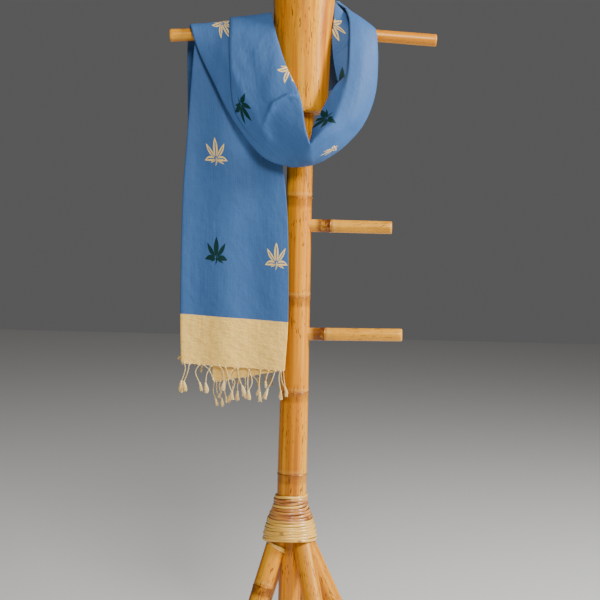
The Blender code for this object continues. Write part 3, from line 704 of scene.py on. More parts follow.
def cloth(node, grid, finish, thickness, *motifs):
    """A sheet through rows and columns of points, in millimetres, as the piece that stands for a node.

    Its first UV map counts metres across and along the cloth. Its second gives each face near a leaf motif
    that leaf's own place and turn, and the faces carry the leaf's tone. Motifs are lists of leaves, each with
    the first and last column of the sheet that they lie on.
    """
    rows, columns = grid.shape[:2]
    index = np.arange(rows * columns).reshape(rows, columns)
    faces = np.stack([index[:-1, :-1], index[:-1, 1:], index[1:, 1:], index[1:, :-1]], axis=-1).reshape(-1, 4)
    mesh = bpy.data.meshes.new(f"{node}_silk")
    mesh.from_pydata((grid.reshape(-1, 3) * MM).tolist(), [], faces.tolist())
    middle = columns // 2
    across = np.cumsum(np.linalg.norm(np.diff(grid, axis=1, prepend=grid[:, :1]), axis=2), axis=1)
    across = across - across[:, middle:middle + 1]
    ahead = np.cumsum(np.linalg.norm(np.diff(grid[:, middle], axis=0, prepend=grid[:1, middle]), axis=1))
    flat = np.stack([across, np.repeat(ahead[:, None], columns, axis=1)], axis=-1)
    corners = flat.reshape(-1, 2)[faces.ravel()]
    mesh.uv_layers.new(name="threads").data.foreach_set("uv", (corners * MM).ravel())

    local, tone = np.full_like(corners, NO_LEAF), np.zeros(len(faces))
    for leaves, first, last in motifs:
        for x, z, pointing, dye, *narrowed in leaves:
            turned, near = leaf_at(grid, flat, corners, first, last, x, z, pointing, *narrowed)
            local[np.repeat(near, 4)] = turned[np.repeat(near, 4)]
            tone[near] = dye
    mesh.uv_layers.new(name="leaf").data.foreach_set("uv", (local * MM).ravel())
    carry(mesh, "FACE", tone=tone)
    mesh = worked(mesh, "SOLIDIFY", thickness=thickness * MM, offset=0.0)
    mesh.shade_smooth()
    mesh.set_sharp_from_angle(angle=math.radians(60))
    return shown(mesh, finish, node)


# Threads of uneven thickness that cross each other: their height, how light each one is, and the slubs.
weave = Group("weave", {"Place": "Vector"}, {"Height": "Float", "Lightness": "Float", "Slub": "Float"})
weft = weave.noise(weave["Place"], (28.0, 1500.0, 1.0), 2.0, 0.55)
warp = weave.noise(weave["Place"], (1300.0, 9.0, 1.0), 2.0, 0.55)
slub = weave.noise(weave["Place"], (120.0, 1300.0, 1.0), 1.0).ramp((0.68, 0.0), (0.78, 1.0))
lightness = weft * 0.38 + warp * 0.62
weave.gives(Height=slub * 0.4 + lightness, Lightness=lightness, Slub=slub)

# One leaflet of the motif, with the line of its rib open. A full one is solid, and somewhat wider.
given = {**dict.fromkeys(("Base", "Direction", "Size", "Place"), "Vector"), "Full": "Float"}
leaflet = Group("leaflet", given, {"Inside": "Float"})
full, direction = leaflet["Full"], leaflet["Direction"]
length, half_width, bend = map(Value, leaflet.node("SeparateXYZ", Vector=leaflet["Size"]).outputs)
from_base = leaflet.node("VectorMath", {"operation": "SUBTRACT"}, _0=leaflet["Place"], _1=leaflet["Base"])
ahead = leaflet.node("VectorMath", {"operation": "DOT_PRODUCT"}, _0=from_base, _1=direction).outputs["Value"]
turned = leaflet.node("VectorMath", {"operation": "CROSS_PRODUCT"}, _0=direction, _1=from_base)
aside = Value(leaflet.node("SeparateXYZ", Vector=turned).outputs["Z"])
share = Value(ahead) / length
half_width = half_width * (full * 0.12 + 1.0)
aside = abs(aside - share * (1.0 - share) * bend)
swell = share * (1.0 - share) * (share * -1.4 + 4.7).or_more(1.0)
inside = ((swell * half_width - aside) * 3500.0 + 0.5).clamped()
rib = ((aside - half_width * 0.25) * 5000.0 + 0.5).clamped()
tip = (share * 8.0 - 5.6).clamped()
leaflet.gives(Inside=inside * rib.or_more(tip).or_more(full))

LEAFLETS = (
    # base x, y, tip x, y, half width, bend, in millimetres
    (0.0, 2.0, 0.0, 40.5, 4.1, 0.0),
    (-1.5, 1.5, -17.0, 28.5, 3.4, 1.0),
    (1.5, 1.5, 17.0, 29.0, 3.4, -1.0),
    (-1.0, -1.0, -21.0, -3.0, 4.6, -2.8),
    (1.0, -1.0, 21.5, -3.5, 4.6, 2.8),
    (-0.5, -0.5, -9.5, -7.0, 1.7, 0.0),
    (0.5, -0.5, 15.0, -9.5, 1.7, 0.0),
    (0.3, 5.0, -1.0, -13.0, 1.3, 1.5),
)


silk = Finish("blue_silk")
place = silk.node("UVMap", {"uv_map": "threads"}).outputs["UV"]
leaf_place = silk.node("UVMap", {"uv_map": "leaf"}).outputs["UV"]
threads = silk.node("Group", {"node_tree": weave.tree}, Place=place).outputs
lightness = Value(threads["Lightness"])
tone = silk.attribute("tone")
green, leaf = tone > 1.5, 0.0
for x0, y0, x1, y1, half_width, bend in LEAFLETS:
    base, tip = np.array((x0, y0, 0.0)), np.array((x1, y1, 0.0))
    size = (np.linalg.norm(tip - base) * MM, half_width * MM, 4 * bend * MM)
    part = silk.node("Group", {"node_tree": leaflet.tree}, Place=leaf_place, Full=green, Base=base * MM,
                     Direction=unit(tip - base), Size=size)
    leaf = Value(part.outputs["Inside"]).or_more(leaf)
leaf = leaf * (tone > 0.5)
cloud = silk.noise(place, 9.0, 3.0)
rumple = silk.noise(place, (46.0, 30.0, 1.0), 3.0, 0.55)
ground = silk.layered(
    lightness.ramp((0.30, (0.035, 0.096, 0.240)), (0.50, (0.045, 0.121, 0.290)), (0.72, (0.057, 0.146, 0.336))),
    (cloud.ramp((0.35, 0.0), (0.75, 0.25)), (0.026, 0.084, 0.225)),
    (Value(threads["Slub"]) * 0.30, (0.085, 0.175, 0.33)),
)
dyed = silk.mix(green, (1.0, 0.68, 0.18), (0.0, 0.030, 0.027))
dyed = silk.mix(1.0, dyed, lightness.ramp((0.3, 0.72), (0.7, 1.0)), "MULTIPLY")
relief = (leaf * 1.2 + threads["Height"]).bump(0.35, 0.0004, rumple.bump(0.5, 0.0030, cloud.bump(0.5, 0.006)))
silk.surface(Base_Color=silk.mix(leaf, ground, dyed), Roughness=lightness.ramp((0.3, 0.62), (0.7, 0.50)),
             Normal=relief, Sheen_Weight=0.06, Sheen_Roughness=0.45, Sheen_Tint=(0.55, 0.72, 1.0, 1.0),
             Specular_IOR_Level=0.22)

raw = Finish("beige_silk")
place = raw.node("UVMap", {"uv_map": "threads"}).outputs["UV"]
coarse = raw.node("VectorMath", {"operation": "SCALE"}, Vector=place, Scale=0.62)
threads = raw.node("Group", {"node_tree": weave.tree}, Place=coarse).outputs
lightness = Value(threads["Lightness"])
crinkle = raw.noise(place, (75.0, 135.0, 1.0), 4.0, 0.64)
billow = raw.noise(place, (22.0, 16.0, 1.0))
# Painted shade: the cream is darker in the hollows of the crinkle, whose height also bumps the cloth.
colour = raw.layered(
    lightness.ramp((0.30, (0.84, 0.46, 0.075)), (0.50, (0.99, 0.60, 0.122)), (0.72, (1.0, 0.71, 0.18))),
    (crinkle.ramp((0.32, 0.30), (0.52, 0.0)), (0.52, 0.30, 0.07)),
    (Value(threads["Slub"]) * 0.4, (0.95, 0.78, 0.42)),
)
relief = Value(threads["Height"]).bump(0.5, 0.0005, crinkle.bump(0.75, 0.0030, billow.bump(0.8, 0.006)))
raw.surface(Base_Color=colour, Roughness=0.72, Sheen_Weight=0.2, Normal=relief)


def letter_section():
    """The folded section: across the panel (0 to 1), depth, and drop at the hem of the flaps' free edges."""
    rows = [(s, 2 * LAYER, FLAP_RISE * s) for s in np.linspace(LEFT_FLAP, 0.01, 24)]
    for a in (0.9, 0.75, 0.6, 0.45, 0.3, 0.15):
        rows.append((-math.sin(math.pi * a) * LAYER / PANEL_WIDTH, LAYER * (1 - math.cos(math.pi * a)), 0.0))
    rows += [(s, 0.0, 0.0) for s in np.linspace(0.004, 0.996, 53)]
    for a in (0.2, 0.4, 0.6, 0.8):
        past = math.sin(math.pi * a) * LAYER / PANEL_WIDTH / 2
        rows.append((1 + past, LAYER / 2 * (1 - math.cos(math.pi * a)), 0.0))
    for s in np.linspace(0.99, 1 - RIGHT_FLAP, 34):
        rounding = max(0.0, FLAP_CORNER - PANEL_WIDTH * (s - 1 + RIGHT_FLAP))
        rounding = FLAP_CORNER - math.sqrt(max(FLAP_CORNER**2 - rounding**2, 0.0))
        rows.append((s, LAYER, rounding - FLAP_DROP * (1 - s) / RIGHT_FLAP))
    return rows


def front_point(h, s, depth, drop):
    """The panel's point at row h, where 0 is the hem; the last row is a quarter turn over the arm."""
    z_left, z_right, x_left, x_right, y_left, y_right = between(FRONT_ROWS, min(h, ARM_ROW))
    x = x_left + (x_right - x_left) * s
    if h > ARM_ROW:
        turn = math.pi / 2 * (h - ARM_ROW)
        radius = OVER_ARM - depth
        return (x, -radius * math.cos(turn), ARM_AXIS + ARM_RISE * x + radius * math.sin(turn))
    hang = min(1.0, (ARM_ROW - h) / 3)
    wave = (WAVE * math.sin(2 * math.pi * (1.6 * s + 0.12)) * 4 * s * (1 - s)
            + RIPPLE * math.sin(7.5 * s + 0.9 * h) * math.sin(0.8 * h + 3.1 * s)) * hang
    y = y_left + (y_right - y_left) * s + wave * min(1.0, 12 * max(0.0, min(s, 1 - s)))
    y += FLAP_BACK * max(0.0, 1.0 - h) ** 2 * max(0.0, -drop / FLAP_DROP)
    z = z_left + (z_right - z_left) * s + drop * max(0.0, 1.0 - h)
    return (x, y + depth, z)


def panel_grid(steps):
    return np.array([[front_point(h, *place) for place in letter_section()] for h in steps])


panel_steps = np.concatenate([np.linspace(1.0, ARM_ROW, 100), ARM_ROW + np.linspace(0.12, 0.99, 8)])
front_panel = cloth("front_panel", panel_grid(panel_steps), silk, CLOTH, (FRONT_LEAVES, *FACE_COLUMNS))
front_border = cloth("front_border", panel_grid(np.linspace(0.0, 1.0, 22)), raw, CLOTH)


# The swag: the folded stole comes over the right arm, hangs in front of the neck and goes up over the left
# arm again. Below it shows the fold of its three layers, beside the neck it turns in over a soft ridge, and
# near the left arm a pleat overhangs the layer under it.
SWAG_ROWS = (
    # lower x, y, z, ridge x, y, z, turned-in x, y, z, tuck, swell, pleat at, pleat height
    (132, 0, 1343.5, 77, 0, 1378, 80, 0, 1373, 1, 2, 0.30, 0),
    (134, -11, 1339, 81, -15, 1366, 85, -11.5, 1361, 1, 3, 0.30, 0),
    (137, -16.5, 1322, 84, -27, 1346, 90, -22, 1343, 2, 4, 0.30, 0),
    (140, -21, 1277, 84, -45, 1293, 92, -37, 1290, 8, 6, 0.30, 0),
    (136, -28, 1217, 82, -52, 1256, 85, -42, 1256, 12, 8, 0.30, 0),
    (117, -38, 1164, 75, -64, 1209, 60, -50, 1228, 14, 7, 0.30, 0),
    (84, -46, 1123, 59, -77, 1164, 35, -56, 1179, 16, 8, 0.30, 0),
    (50, -51, 1097, 40, -84, 1147, 23, -59, 1155, 18, 9, 0.30, 0),
    (28, -52, 1086, 24, -86, 1130, 20, -66, 1138, 18, 9, 0.30, 0),
    (14, -52, 1082, 18, -86, 1123, 17, -70, 1127, 18, 9, 0.30, 0),
    (-4, -52, 1080, 14.5, -84, 1133, 10, -70, 1132, 18, 9, 0.30, 0),
    (-24, -52, 1081, 9, -79, 1154, 2, -68, 1148, 17, 9, 0.30, 0),
    (-72, -50, 1099, -1, -68, 1209, -9, -60, 1202, 14, 8, 0.12, 0),
    (-126, -40, 1164, -28, -57, 1267, -36, -50, 1260, 9, 9, 0.08, 2.0),
    (-165, -32, 1237, -44, -47, 1313, -52, -41, 1307, 5, 7, 0.28, 5.0),
    (-188, -26, 1281, -51, -36, 1338, -58, -31, 1333, 3, 4, 0.39, 6.5),
    (-201, -22, 1312, -56, -23, 1353, -61, -19, 1348, 1.5, 2, 0.45, 6.5),
    (-209, -14.5, 1336.5, -59, -11, 1364, -63, -9, 1359, 1, -2.5, 0.48, 6.0),
    (-211.5, 0, 1342, -60, 0, 1367, -64, 0, 1361, 1, -5.5, 0.48, 6.0),
)
TUCKED = (
    # the tucked fold, as shares of the tuck: inward, and along the face
    (0.80, 0.90), (0.78, 0.62), (0.70, 0.38), (0.56, 0.18), (0.40, 0.06), (0.25, 0.01), (0.12, 0.02),
    (0.03, 0.09),
)
PLEAT = (
    # past the pleat's edge as a share of the overlap, and height as a share of the pleat's
    (1.0, 0.0), (0.6, 0.10), (0.2, 0.22), (-0.05, 0.48), (0.0, 0.78), (0.16, 0.96), (0.5, 1.0),
)
OVERLAP = 0.075  # the pleat's, as a share of the face
FULL_PLEAT = 6.0  # the pleat's height from which its overlap is whole
FACE_START = 0.012  # past the lower edge, as a share of the face
TURN_REACH = 6.0  # how far past the ridge the cloth is rounded
RIDGE_ROUNDING = 0.07
TURNED_IN = 12  # the last columns of the swag, past its ridge
SWAG_STACK = 1.8
CREASE = (
    # x, z, how far the cloth stands up there
    (3, 1211, 4.0), (-24, 1210, 4.2), (-50, 1194, 5.0), (-61, 1172, 2.2), (-69, 1148, 0.3),
)
CREASE_RISE = 2.2
CREASE_FALL = 7.0
SWAG_FOLDS = (
    # the line of a soft fold: from x, z to x, z, height, half width
    (-40, 1290, -66, 1180, 1.4, 16),
    (-100, 1280, -40, 1130, -1.5, 14),
    (110, 1290, 90, 1165, 1.6, 12),
    (20, 1108, 92, 1150, -1.8, 9),
    (-150, 1290, -60, 1130, 1.2, 9),
)
SWAG_LEAVES = (
    (-151.5, 1343, 151.0, 1, 0.0, 0.72, 0.92),
    (-111.5, 1193.5, 138.0, 2, 90.0, 0.45, 1.24),
    (-22, 1260, 161.0, 1, 161.0, 0.70, 1.14),
    (62, 1115.5, 240.0, 1, 150.0, 0.26, 0.80),
)
INNER_LEAVES = ((48.5, 1171, 222.0, 2, 140.0, 0.76, 1.04),)


def from_line(x, z, x0, z0, x1, z1):
    """How far a point lies from a stretch of line, and how far along it (0 to 1)."""
    run = np.array((x1 - x0, z1 - z0), float)
    t = np.clip(((x - x0) * run[0] + (z - z0) * run[1]) / (run @ run), 0.0, 1.0)
    return np.hypot(x - x0 - t * run[0], z - z0 - t * run[1]), t


def swag_relief(x, z):
    """How far the crease and soft folds lift the cloth at a place of the swag's face.

    The crease rises at once on its upper side and sinks slowly on the other.
    """
    lift = np.zeros_like(x)
    for (x0, z0, high0), (x1, z1, high1) in zip(CREASE, CREASE[1:]):
        distance, t = from_line(x, z, x0, z0, x1, z1)
        above = (x - x0) * (z1 - z0) - (z - z0) * (x1 - x0) > 0
        high = high0 + (high1 - high0) * t
        lift = np.maximum(lift, high * np.exp(-(distance / np.where(above, CREASE_RISE, CREASE_FALL)) ** 2))
    for x0, z0, x1, z1, height, half in SWAG_FOLDS:
        lift += height * np.exp(-(from_line(x, z, x0, z0, x1, z1)[0] / half) ** 2)
    return lift


def swag_grid():
    """The swag's points, from its tucked fold across the face and the pleat to its turned-in edge."""
    steps = [np.linspace(0, 11, 121)[:-1], np.linspace(11, 15, 113), np.linspace(15, 18, 37)[1:]]
    table = np.array([between(SWAG_ROWS, t) for t in np.concatenate(steps)])
    lower, ridge, inner = table[:, 0:3], table[:, 3:6], table[:, 6:9]
    tuck, swell, pleat, height = table[:, 9:10], table[:, 10:11], table[:, 11:12], table[:, 12:13]
    across = unit(ridge - lower)
    inward = unit(np.cross(np.gradient((lower + ridge) / 2, axis=0), ridge - lower))
    columns = [lower + tuck * (deep * inward + onto * across) for deep, onto in TUCKED]
    overlap = OVERLAP * np.clip(height, 0.0, FULL_PLEAT) / FULL_PLEAT
    spread = [(FACE_START + (pleat + overlap - FACE_START) * t, 0.0) for t in np.linspace(0.0, 0.94, 13)]
    spread += [(pleat + past * overlap + 0.0015 * i, high) for i, (past, high) in enumerate(PLEAT)]
    start = pleat + 0.5 * overlap + 0.014
    spread += [(start + (1 - RIDGE_ROUNDING - start) * t, 1.0) for t in np.linspace(0.03, 1.0, 80)]
    for s, high in spread:
        raised = high * height * (1 - np.maximum(s - pleat, 0.0) / (1 - pleat))
        point = lower + s * (ridge - lower)
        relief = swag_relief(point[:, 0], point[:, 2])[:, None] * np.minimum(1.0, 8 * s * (1 - s))
        columns.append(point - inward * (swell * 4 * s * (1 - s) + raised + relief))
    last, into = columns[-1], unit(inner - ridge)
    bend = np.linalg.norm(inner - ridge, axis=1, keepdims=True)
    turned = ridge + into * np.minimum(bend * 0.5, TURN_REACH)
    for t in np.linspace(0.14, 1.0, 9):
        columns.append((1 - t) ** 2 * last + 2 * t * (1 - t) * ridge + t ** 2 * turned)
    for t in (0.2, 0.4, 0.6, 0.8, 1.0):
        columns.append(turned + t * (inner - turned))
    return np.stack(columns, axis=1)


grid = swag_grid()
inside = grid.shape[1] - TURNED_IN
swag = cloth("swag", grid, silk, SWAG_STACK, (SWAG_LEAVES, len(TUCKED), inside), (INNER_LEAVES, inside, None))

# The inner edge of the folded stole, which shows between the swag's roll and the neck.
FLAP_ROWS = (
    # at the neck x, y, z, behind the ridge x, y, z
    (58, 0, 1389, 88, 0, 1357),
    (56, -14, 1353, 92, -16, 1338),
    (54, -20, 1322, 96, -21, 1312),
    (56, -25, 1290, 97, -27, 1284),
    (61, -31, 1260, 92, -35, 1256),
    (66, -38, 1240, 86, -41, 1236),
)
FLAP_LEAVES = ((52.5, 1347.0, 164.0, 1, 0.0, 0.86, 1.04), (72.5, 1221, 2.0, 2, 0.0, 1.0, 1.15))
FLAP_FOLD, FOLD_HEIGHT, FOLD_HALF = (56, 1290, 80, 1311), 1.8, 3.0
FLAP_SWELL = 2.0
table = along(FLAP_ROWS, 12)
shares = np.linspace(0.0, 1.0, 20)
grid = np.stack([table[:, 0:3] + s * (table[:, 3:6] - table[:, 0:3]) for s in shares], axis=1)
fold = from_line(grid[..., 0], grid[..., 2], *FLAP_FOLD)[0]
grid[..., 1] -= FOLD_HEIGHT * np.exp(-(fold / FOLD_HALF) ** 2) + FLAP_SWELL * np.sin(math.pi * shares)
swag_flap = cloth("swag_flap", grid, silk, CLOTH, (FLAP_LEAVES, 0, None))


# The stretch behind the neck, and the stole's other end, which goes over the left arm and hangs behind it.
# Both are the same folded silk, with its layers tight on each other, and only their own weight holds them.
COLLAR_ROWS = (
    # upper edge x, y, z, lower edge x, y, z, swell
    (-62, 0, 1346.8, -197.5, 0, 1338.1, 0),
    (-67, 16, 1346, -203, 13, 1330, 1),
    (-64, 38, 1352, -200, 22, 1310, 4),
    (-50, 56, 1360, -172, 34, 1276, 6),
    (-26, 68, 1370, -122, 52, 1246, 8),
    (4, 73, 1379, -58, 70, 1228, 9),
    (34, 67, 1385, 12, 80, 1222, 10),
    (56, 51, 1389, 72, 72, 1240, 9),
    (66, 30, 1392, 112, 46, 1286, 6),
    (65, 12, 1392, 131, 16, 1331, 3),
    (58, 0, 1390.5, 132, 0, 1343, 1),
)
BACK_ROWS = (
    # left edge x, y, z, right edge x, y, z, swell
    (-211.5, 0, 1342, -60, 0, 1367, -5.5),
    (-214, 16, 1337, -62, 16, 1366.5, -2),
    (-217, 24, 1318, -66, 40, 1364, 1),
    (-218.5, 30, 1295, -70, 72, 1344, 3),
    (-218, 32, 1260, -62, 86, 1300, 3),
    (-216.5, 32, 1215, -52, 90, 1240, 3),
    (-215, 30, 1160, -42, 66, 1180, 3),
    (-214, 27, 1100, -36, 46, 1120, 3),
    (-213, 24, 1000, -33, 37, 1000, 3),
    (-213, 23, 826, -31, 33, 812, 3),
    (-213, 23, 728, -31, 32, 712, 3),
)
BACK_BORDER_ROW = 9
COLLAR_LEAVES = ((-110, 1300, 60.0, 2), (20, 1300, 80.0, 1), (90, 1330, 100.0, 2))
BACK_LEAVES = (
    (-180, 1240, 180.0, 1), (-90, 1150, 180.0, 2), (-170, 1040, 180.0, 1), (-80, 950, 180.0, 2),
    (-160, 880, 180.0, 2),
)
SMALL_WAVE = 0.8


def swept_grid(rows, per, count, outward):
    """A sheet between two edges, swollen outward by the last column of its rows, with small waves."""
    table = along(rows, per)
    first, second, swell = table[:, 0:3], table[:, 3:6], table[:, 6:7]
    normal = outward * unit(np.cross(np.gradient((first + second) / 2, axis=0), second - first))
    step = np.arange(len(table))[:, None] / per
    columns = []
    for s in np.linspace(0.0, 1.0, count):
        wave = SMALL_WAVE * np.sin(9.0 * s + 1.3 * step) * np.sin(0.9 * step + 4.0 * s)
        columns.append(first + s * (second - first) + normal * (swell + wave) * 4 * s * (1 - s))
    return np.stack(columns, axis=1)


collar = cloth("collar", swept_grid(COLLAR_ROWS, 10, 44, 1), silk, SWAG_STACK, (COLLAR_LEAVES, 0, None))
grid = swept_grid(BACK_ROWS[:BACK_BORDER_ROW + 1], 10, 44, -1)
back_panel = cloth("back_panel", grid, silk, SWAG_STACK, (BACK_LEAVES, 0, None))
back_border = cloth("back_border", swept_grid(BACK_ROWS[BACK_BORDER_ROW:], 20, 44, -1), raw, SWAG_STACK)


# The fringes: the warp ends are gathered from both sides into a knot at the hem, twisted in two plies into a
# cord, knotted again and left as a tuft. Each cord hangs in its own way.
FRONT_CORDS = (
    # x and depth under the hem: of the knot at the hem, of the bends, of the tuft's knot and of the tuft's end
    ((-209.5, 0), (-207.5, 12), (-214, 33), (-214.5, 57)),
    ((-200, 1), (-203, 18), (-210, 34), (-205, 54)),
    ((-181, 1), (-188, 16), (-180, 34.5), (-174, 51)),
    ((-172, 1), (-161.5, 10), (-154, 25), (-151, 31)),
    ((-158, 2), (-166, 17), (-168.5, 34), (-164.5, 54)),
    ((-142.5, 0), (-135.5, 10), (-133, 28), (-136, 47)),
    ((-131.5, 1), (-124, 18), (-113, 27), (-117, 46), (-120, 63)),
    ((-113.5, 2), (-121.5, 13), (-125, 27), (-118, 47), (-116.5, 63)),
    ((-108, 2), (-106, 18), (-99, 34), (-93.5, 54.5)),
    ((-87, 4), (-88.5, 26), (-87.5, 43), (-83.5, 61)),
    ((-86, 5), (-80, 26), (-86.5, 42), (-86, 60)),
    ((-65, 4), (-66.5, 24), (-65, 44), (-64, 63)),
    ((-49.5, 2), (-52.5, 13), (-55, 23), (-53.5, 36)),
    ((-37, 1), (-42.5, 20), (-50.5, 36), (-56, 57)),
    ((-28, 1), (-29.5, 16), (-25.5, 38), (-25.5, 56)),
    ((-26.5, 2), (-23.5, 21), (-16.5, 34), (-15, 50)),
    ((-21.5, 0), (-20, 15), (-17.5, 31), (-13.5, 47)),
)
FLAP_CORDS = (
    ((-152.5, 1), (-154, 20), (-150, 34), (-146, 50)),
    ((-148, 1), (-147, 22), (-138, 35), (-136, 53)),
    ((-141, 1), (-143, 12), (-139, 22), (-145, 34)),
    ((-130, 1), (-132.5, 22), (-129.5, 34), (-128.5, 47)),
    ((-119, 1), (-117, 16), (-123, 32), (-124, 48)),
    ((-105, 1), (-108, 14), (-108, 26), (-108, 46)),
    ((-94, 1), (-93, 15), (-96, 28), (-92, 44)),
    ((-79, 1), (-70, 14), (-67, 27), (-70, 42)),
)
BACK_CORDS, FIRST_BACK_CORD, BACK_STEP = 12, -207.0, 14.9
FRINGE_SIZES = {
    "Ply_Radius": 0.62, "Twist_Pitch": 6.5, "Twist_Step": 1.1, "Knot_Radius": 2.1,
    "Thread_Radius": 0.52, "Tuft_Width": 4.5, "Tuft_Length": 18.0,
}
HEM_KNOT, LOW_KNOT = (0.75, 0.75, 0.85), (1.0, 1.0, 1.1)  # how each knot is scaled
TUFT_THREADS = 32
TUFT_DROP = 0.1  # how far down the tuft its knot is drawn
TUFT_NECK = 0.3  # the tuft's width at its knot, as a share
THREAD_TURN = 2.4  # round the tuft from each thread to the next, in radians
THREAD_LENGTHS = (0.66, 0.98)
THREAD_LEANS = (0.2, 1.0)
DRIFT_DEPTH = 55.0  # under the hem, where a fringe has all of its drift
WHOLE_CORD = 0.9  # a line with more girth than this is a cord, which has a knot, and not gathered threads
GATHERED_GIRTH = 0.82
GATHER_REACH, GATHER_DIP, GATHER_LIFT = 3.0, 2.6, 0.2  # how the gathered threads sag towards each knot


def random_value(form, low, high, seed):
    return Value(form.node("FunctionNodeRandomValue", _2=low, _3=high, Seed=seed).outputs[1])


def facing(form, spin, way):
    """A turn by spin round its own axis, and then towards the way."""
    turn = form.node("FunctionNodeEulerToRotation", Euler=form.xyz(z=spin))
    return form.node("FunctionNodeAlignRotationToVector", Rotation=turn, Vector=way)


def joined(form, *parts):
    made = form.node("JoinGeometry")
    for part in parts:
        put(made.inputs[0], part)
    return made


fringe = Form("knotted_fringe", [size.replace("_", " ") for size in FRINGE_SIZES], ("Threads", "Seed"))

# Lines that carry 1 as tuft are where a tuft hangs, and the others are cords and gathered threads.
lines = fringe.node("SeparateGeometry", Geometry=fringe["Lines"], Selection=fringe.carried("tuft") > 0.5)
roots = fringe.node("MeshToCurve", Mesh=lines.outputs["Inverted"])
hang = fringe.node("MeshToCurve", Mesh=lines.outputs["Selection"])

spun = fringe.node("ResampleCurve", {"mode": "LENGTH"}, Curve=roots, Length=fringe["Twist Step"])
turns = Value(fringe.node("SplineParameter").outputs["Length"]) / fringe["Twist Pitch"]
spun = fringe.node("SetCurveTilt", Curve=spun, Tilt=turns * (2 * math.pi) + fringe.carried("phase"))
ply = fringe.node("CurvePrimitiveCircle", Resolution=5, Radius=fringe["Ply Radius"])
plies = [fringe.node("Transform", Geometry=ply, Translation=fringe.xyz(fringe["Ply Radius"] * aside))
         for aside in (-0.8, 0.8)]
girth = fringe.carried("girth")
cords = fringe.node("CurveToMesh", Curve=spun, Profile_Curve=joined(fringe, *plies), Scale=girth,
                    Fill_Caps=True)

knot = fringe.node("MeshUVSphere", Segments=8, Rings=6, Radius=fringe["Knot Radius"])
first = fringe.node("CurveEndpointSelection", Start_Size=1, End_Size=0)
whole = (girth > WHOLE_CORD) * first
hem_knots = fringe.node("InstanceOnPoints", Points=roots, Selection=whole, Instance=knot, Scale=HEM_KNOT)
low_knots = fringe.node("InstanceOnPoints", Points=hang, Selection=first, Instance=knot, Scale=LOW_KNOT)

# The threads of a tuft spread from its knot in a round bunch.
number = Value(fringe.node("InputIndex").outputs[0])
bearing = number * THREAD_TURN
out = ((number + 0.5) / fringe["Threads"]).math("SQRT") * fringe["Tuft Width"]
over, across = out * bearing.math("COSINE"), out * bearing.math("SINE")
strays = random_value(fringe, *THREAD_LENGTHS, fringe["Seed"])
flare = random_value(fringe, *THREAD_LEANS, fringe["Seed"] + 1.0)
long = fringe["Tuft Length"]
bow = fringe.node("CurveQuadraticBezier", Resolution=3, Start=ORIGIN, End=fringe.xyz(z=long),
                  Middle=fringe.xyz(long * 0.05, z=long * 0.55))
fibre = fringe.node("CurvePrimitiveCircle", Resolution=4, Radius=fringe["Thread Radius"])
fibre = fringe.node("CurveToMesh", Curve=bow, Profile_Curve=fibre, Fill_Caps=True)
ends = fringe.xyz(over * TUFT_NECK, across * TUFT_NECK)
ends = fringe.node("Points", Count=fringe["Threads"], Position=ends)
leaning = facing(fringe, bearing, fringe.xyz(over * flare, across * flare, long))
tuft = fringe.node("InstanceOnPoints", Points=ends, Instance=fibre, Rotation=leaning,
                   Scale=fringe.xyz(1.0, 1.0, strays))
spin = facing(fringe, random_value(fringe, 0.0, 2 * math.pi, fringe["Seed"]), fringe.node("InputTangent"))
share = Value(fringe.node("SplineLength").outputs["Length"]) / long
tufts = fringe.node("InstanceOnPoints", Points=hang, Selection=first, Instance=tuft, Rotation=spin, Scale=share)
fringe.ends_in(joined(fringe, cords, hem_knots, low_knots, tufts))


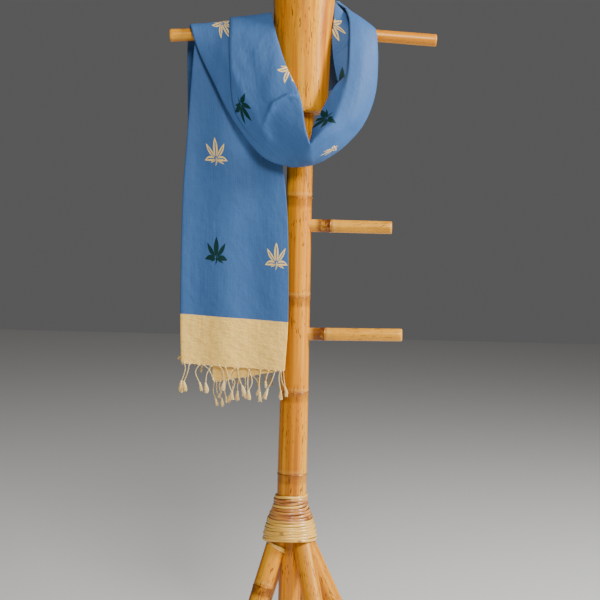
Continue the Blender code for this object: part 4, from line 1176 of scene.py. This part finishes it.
def fringe_piece(node, cords, hem, drift, edges, seed):
    """The cords below a hem, with the gathered threads between their knots. hem(x) is the hem's point at x."""
    rng = np.random.default_rng(seed)
    lines, carried = [], []
    for path in cords:
        points = np.array([hem(x0) - (0.0, 0.0, d) + (0.0, drift * d / DRIFT_DEPTH, 0.0) for x0, d in path])
        points[-2] += TUFT_DROP * (points[-1] - points[-2])
        lines += [along(points[:-1], 8), points[-2:]]
        carried += [(0.0, 1.0, rng.uniform(0, 6)), (1.0, 1.0, 0.0)]
    roots = sorted([*edges] + [path[0][0] for path in cords])
    for left, right in zip(roots, roots[1:]):
        gap = right - left
        if gap < GATHER_REACH:
            continue
        line = []
        for t in np.linspace(0.0, 1.0, 13):
            dip = GATHER_DIP * math.exp(-(min(t, 1 - t) * gap / GATHER_REACH) ** 2)
            line.append(hem(left + gap * t) - (0.0, 0.0, dip - GATHER_LIFT))
        lines.append(np.array(line))
        carried.append((0.0, GATHERED_GIRTH, 0.0))
    is_tuft, girth, phase = np.repeat(carried, [len(line) for line in lines], axis=0).T
    sizes = {size: value * MM for size, value in FRINGE_SIZES.items()}
    lines = lines_mesh(lines, tuft=is_tuft, girth=girth, phase=phase)
    mesh = fringe.made(f"{node}_cords", lines, thread, Seed=seed, Threads=TUFT_THREADS, **sizes)
    mesh.uv_layers.new(name="threads")
    return shown(mesh, thread, node)


def front_hem(x, depth=0.0, flap=0.0):
    s = (x - FRONT_ROWS[0][2]) / (FRONT_ROWS[0][3] - FRONT_ROWS[0][2])
    return np.array(front_point(0.0, s, depth, -flap * FLAP_DROP * (1 - s) / RIGHT_FLAP))


def flap_hem(x):
    return front_hem(x, LAYER, 1.0)


def back_hem(x):
    foot = np.array(BACK_ROWS[-1], float)
    s = (x - foot[0]) / (foot[3] - foot[0])
    return foot[0:3] + s * (foot[3:6] - foot[0:3]) + (0.0, foot[6] * 4 * s * (1 - s), 0.0)


thread = Finish("cream_thread")
place = thread.node("TexCoord").outputs["Object"]
fine = thread.noise(place, (2600.0, 2600.0, 300.0), 2.0, 0.6)
colour = thread.layered(
    thread.noise(place, 60.0).ramp((0.35, (0.90, 0.60, 0.19)), (0.65, (1.0, 0.78, 0.34))),
    (fine.ramp((0.35, 0.35), (0.55, 0.0)), (0.50, 0.31, 0.11)),
)
thread.surface(Base_Color=colour, Roughness=0.75, Sheen_Weight=0.25, Normal=fine.bump(0.5, 0.0005))

# The cord at the left shows beside the panel, and the others hang behind it.
back_cords = [((-208.5, 1), (-213, 3), (-216, 6), (-224, 22))]
for i in range(1, BACK_CORDS):
    x0 = FIRST_BACK_CORD + BACK_STEP * i
    sway, swing = 3.5 * math.sin(2.1 * i + 0.4), 5.0 * math.sin(1.3 * i + 2.0)
    depth = 54.0 + 5.0 * math.sin(3.7 * i) - 26.0 * max(0.0, 1.0 - i / 5.0)
    bends = ((x0 + sway, depth * 0.3), (x0 + swing * 0.5, depth * 0.66))
    back_cords.append(((x0, 1), *bends, (x0 + swing, depth)))
fringes = [fringe_piece(*row) for row in (
    # node, cords, hem, how far they drift in depth, where the hem ends, seed
    ("front_fringe", FRONT_CORDS, front_hem, -4.0, (-214.0, -20.0), 3),
    ("flap_fringe", FLAP_CORDS, flap_hem, 7.0, (-154.0, -66.0), 5),
    ("back_fringe", back_cords, back_hem, 2.0, (-212.5, -31.5), 7),
)]
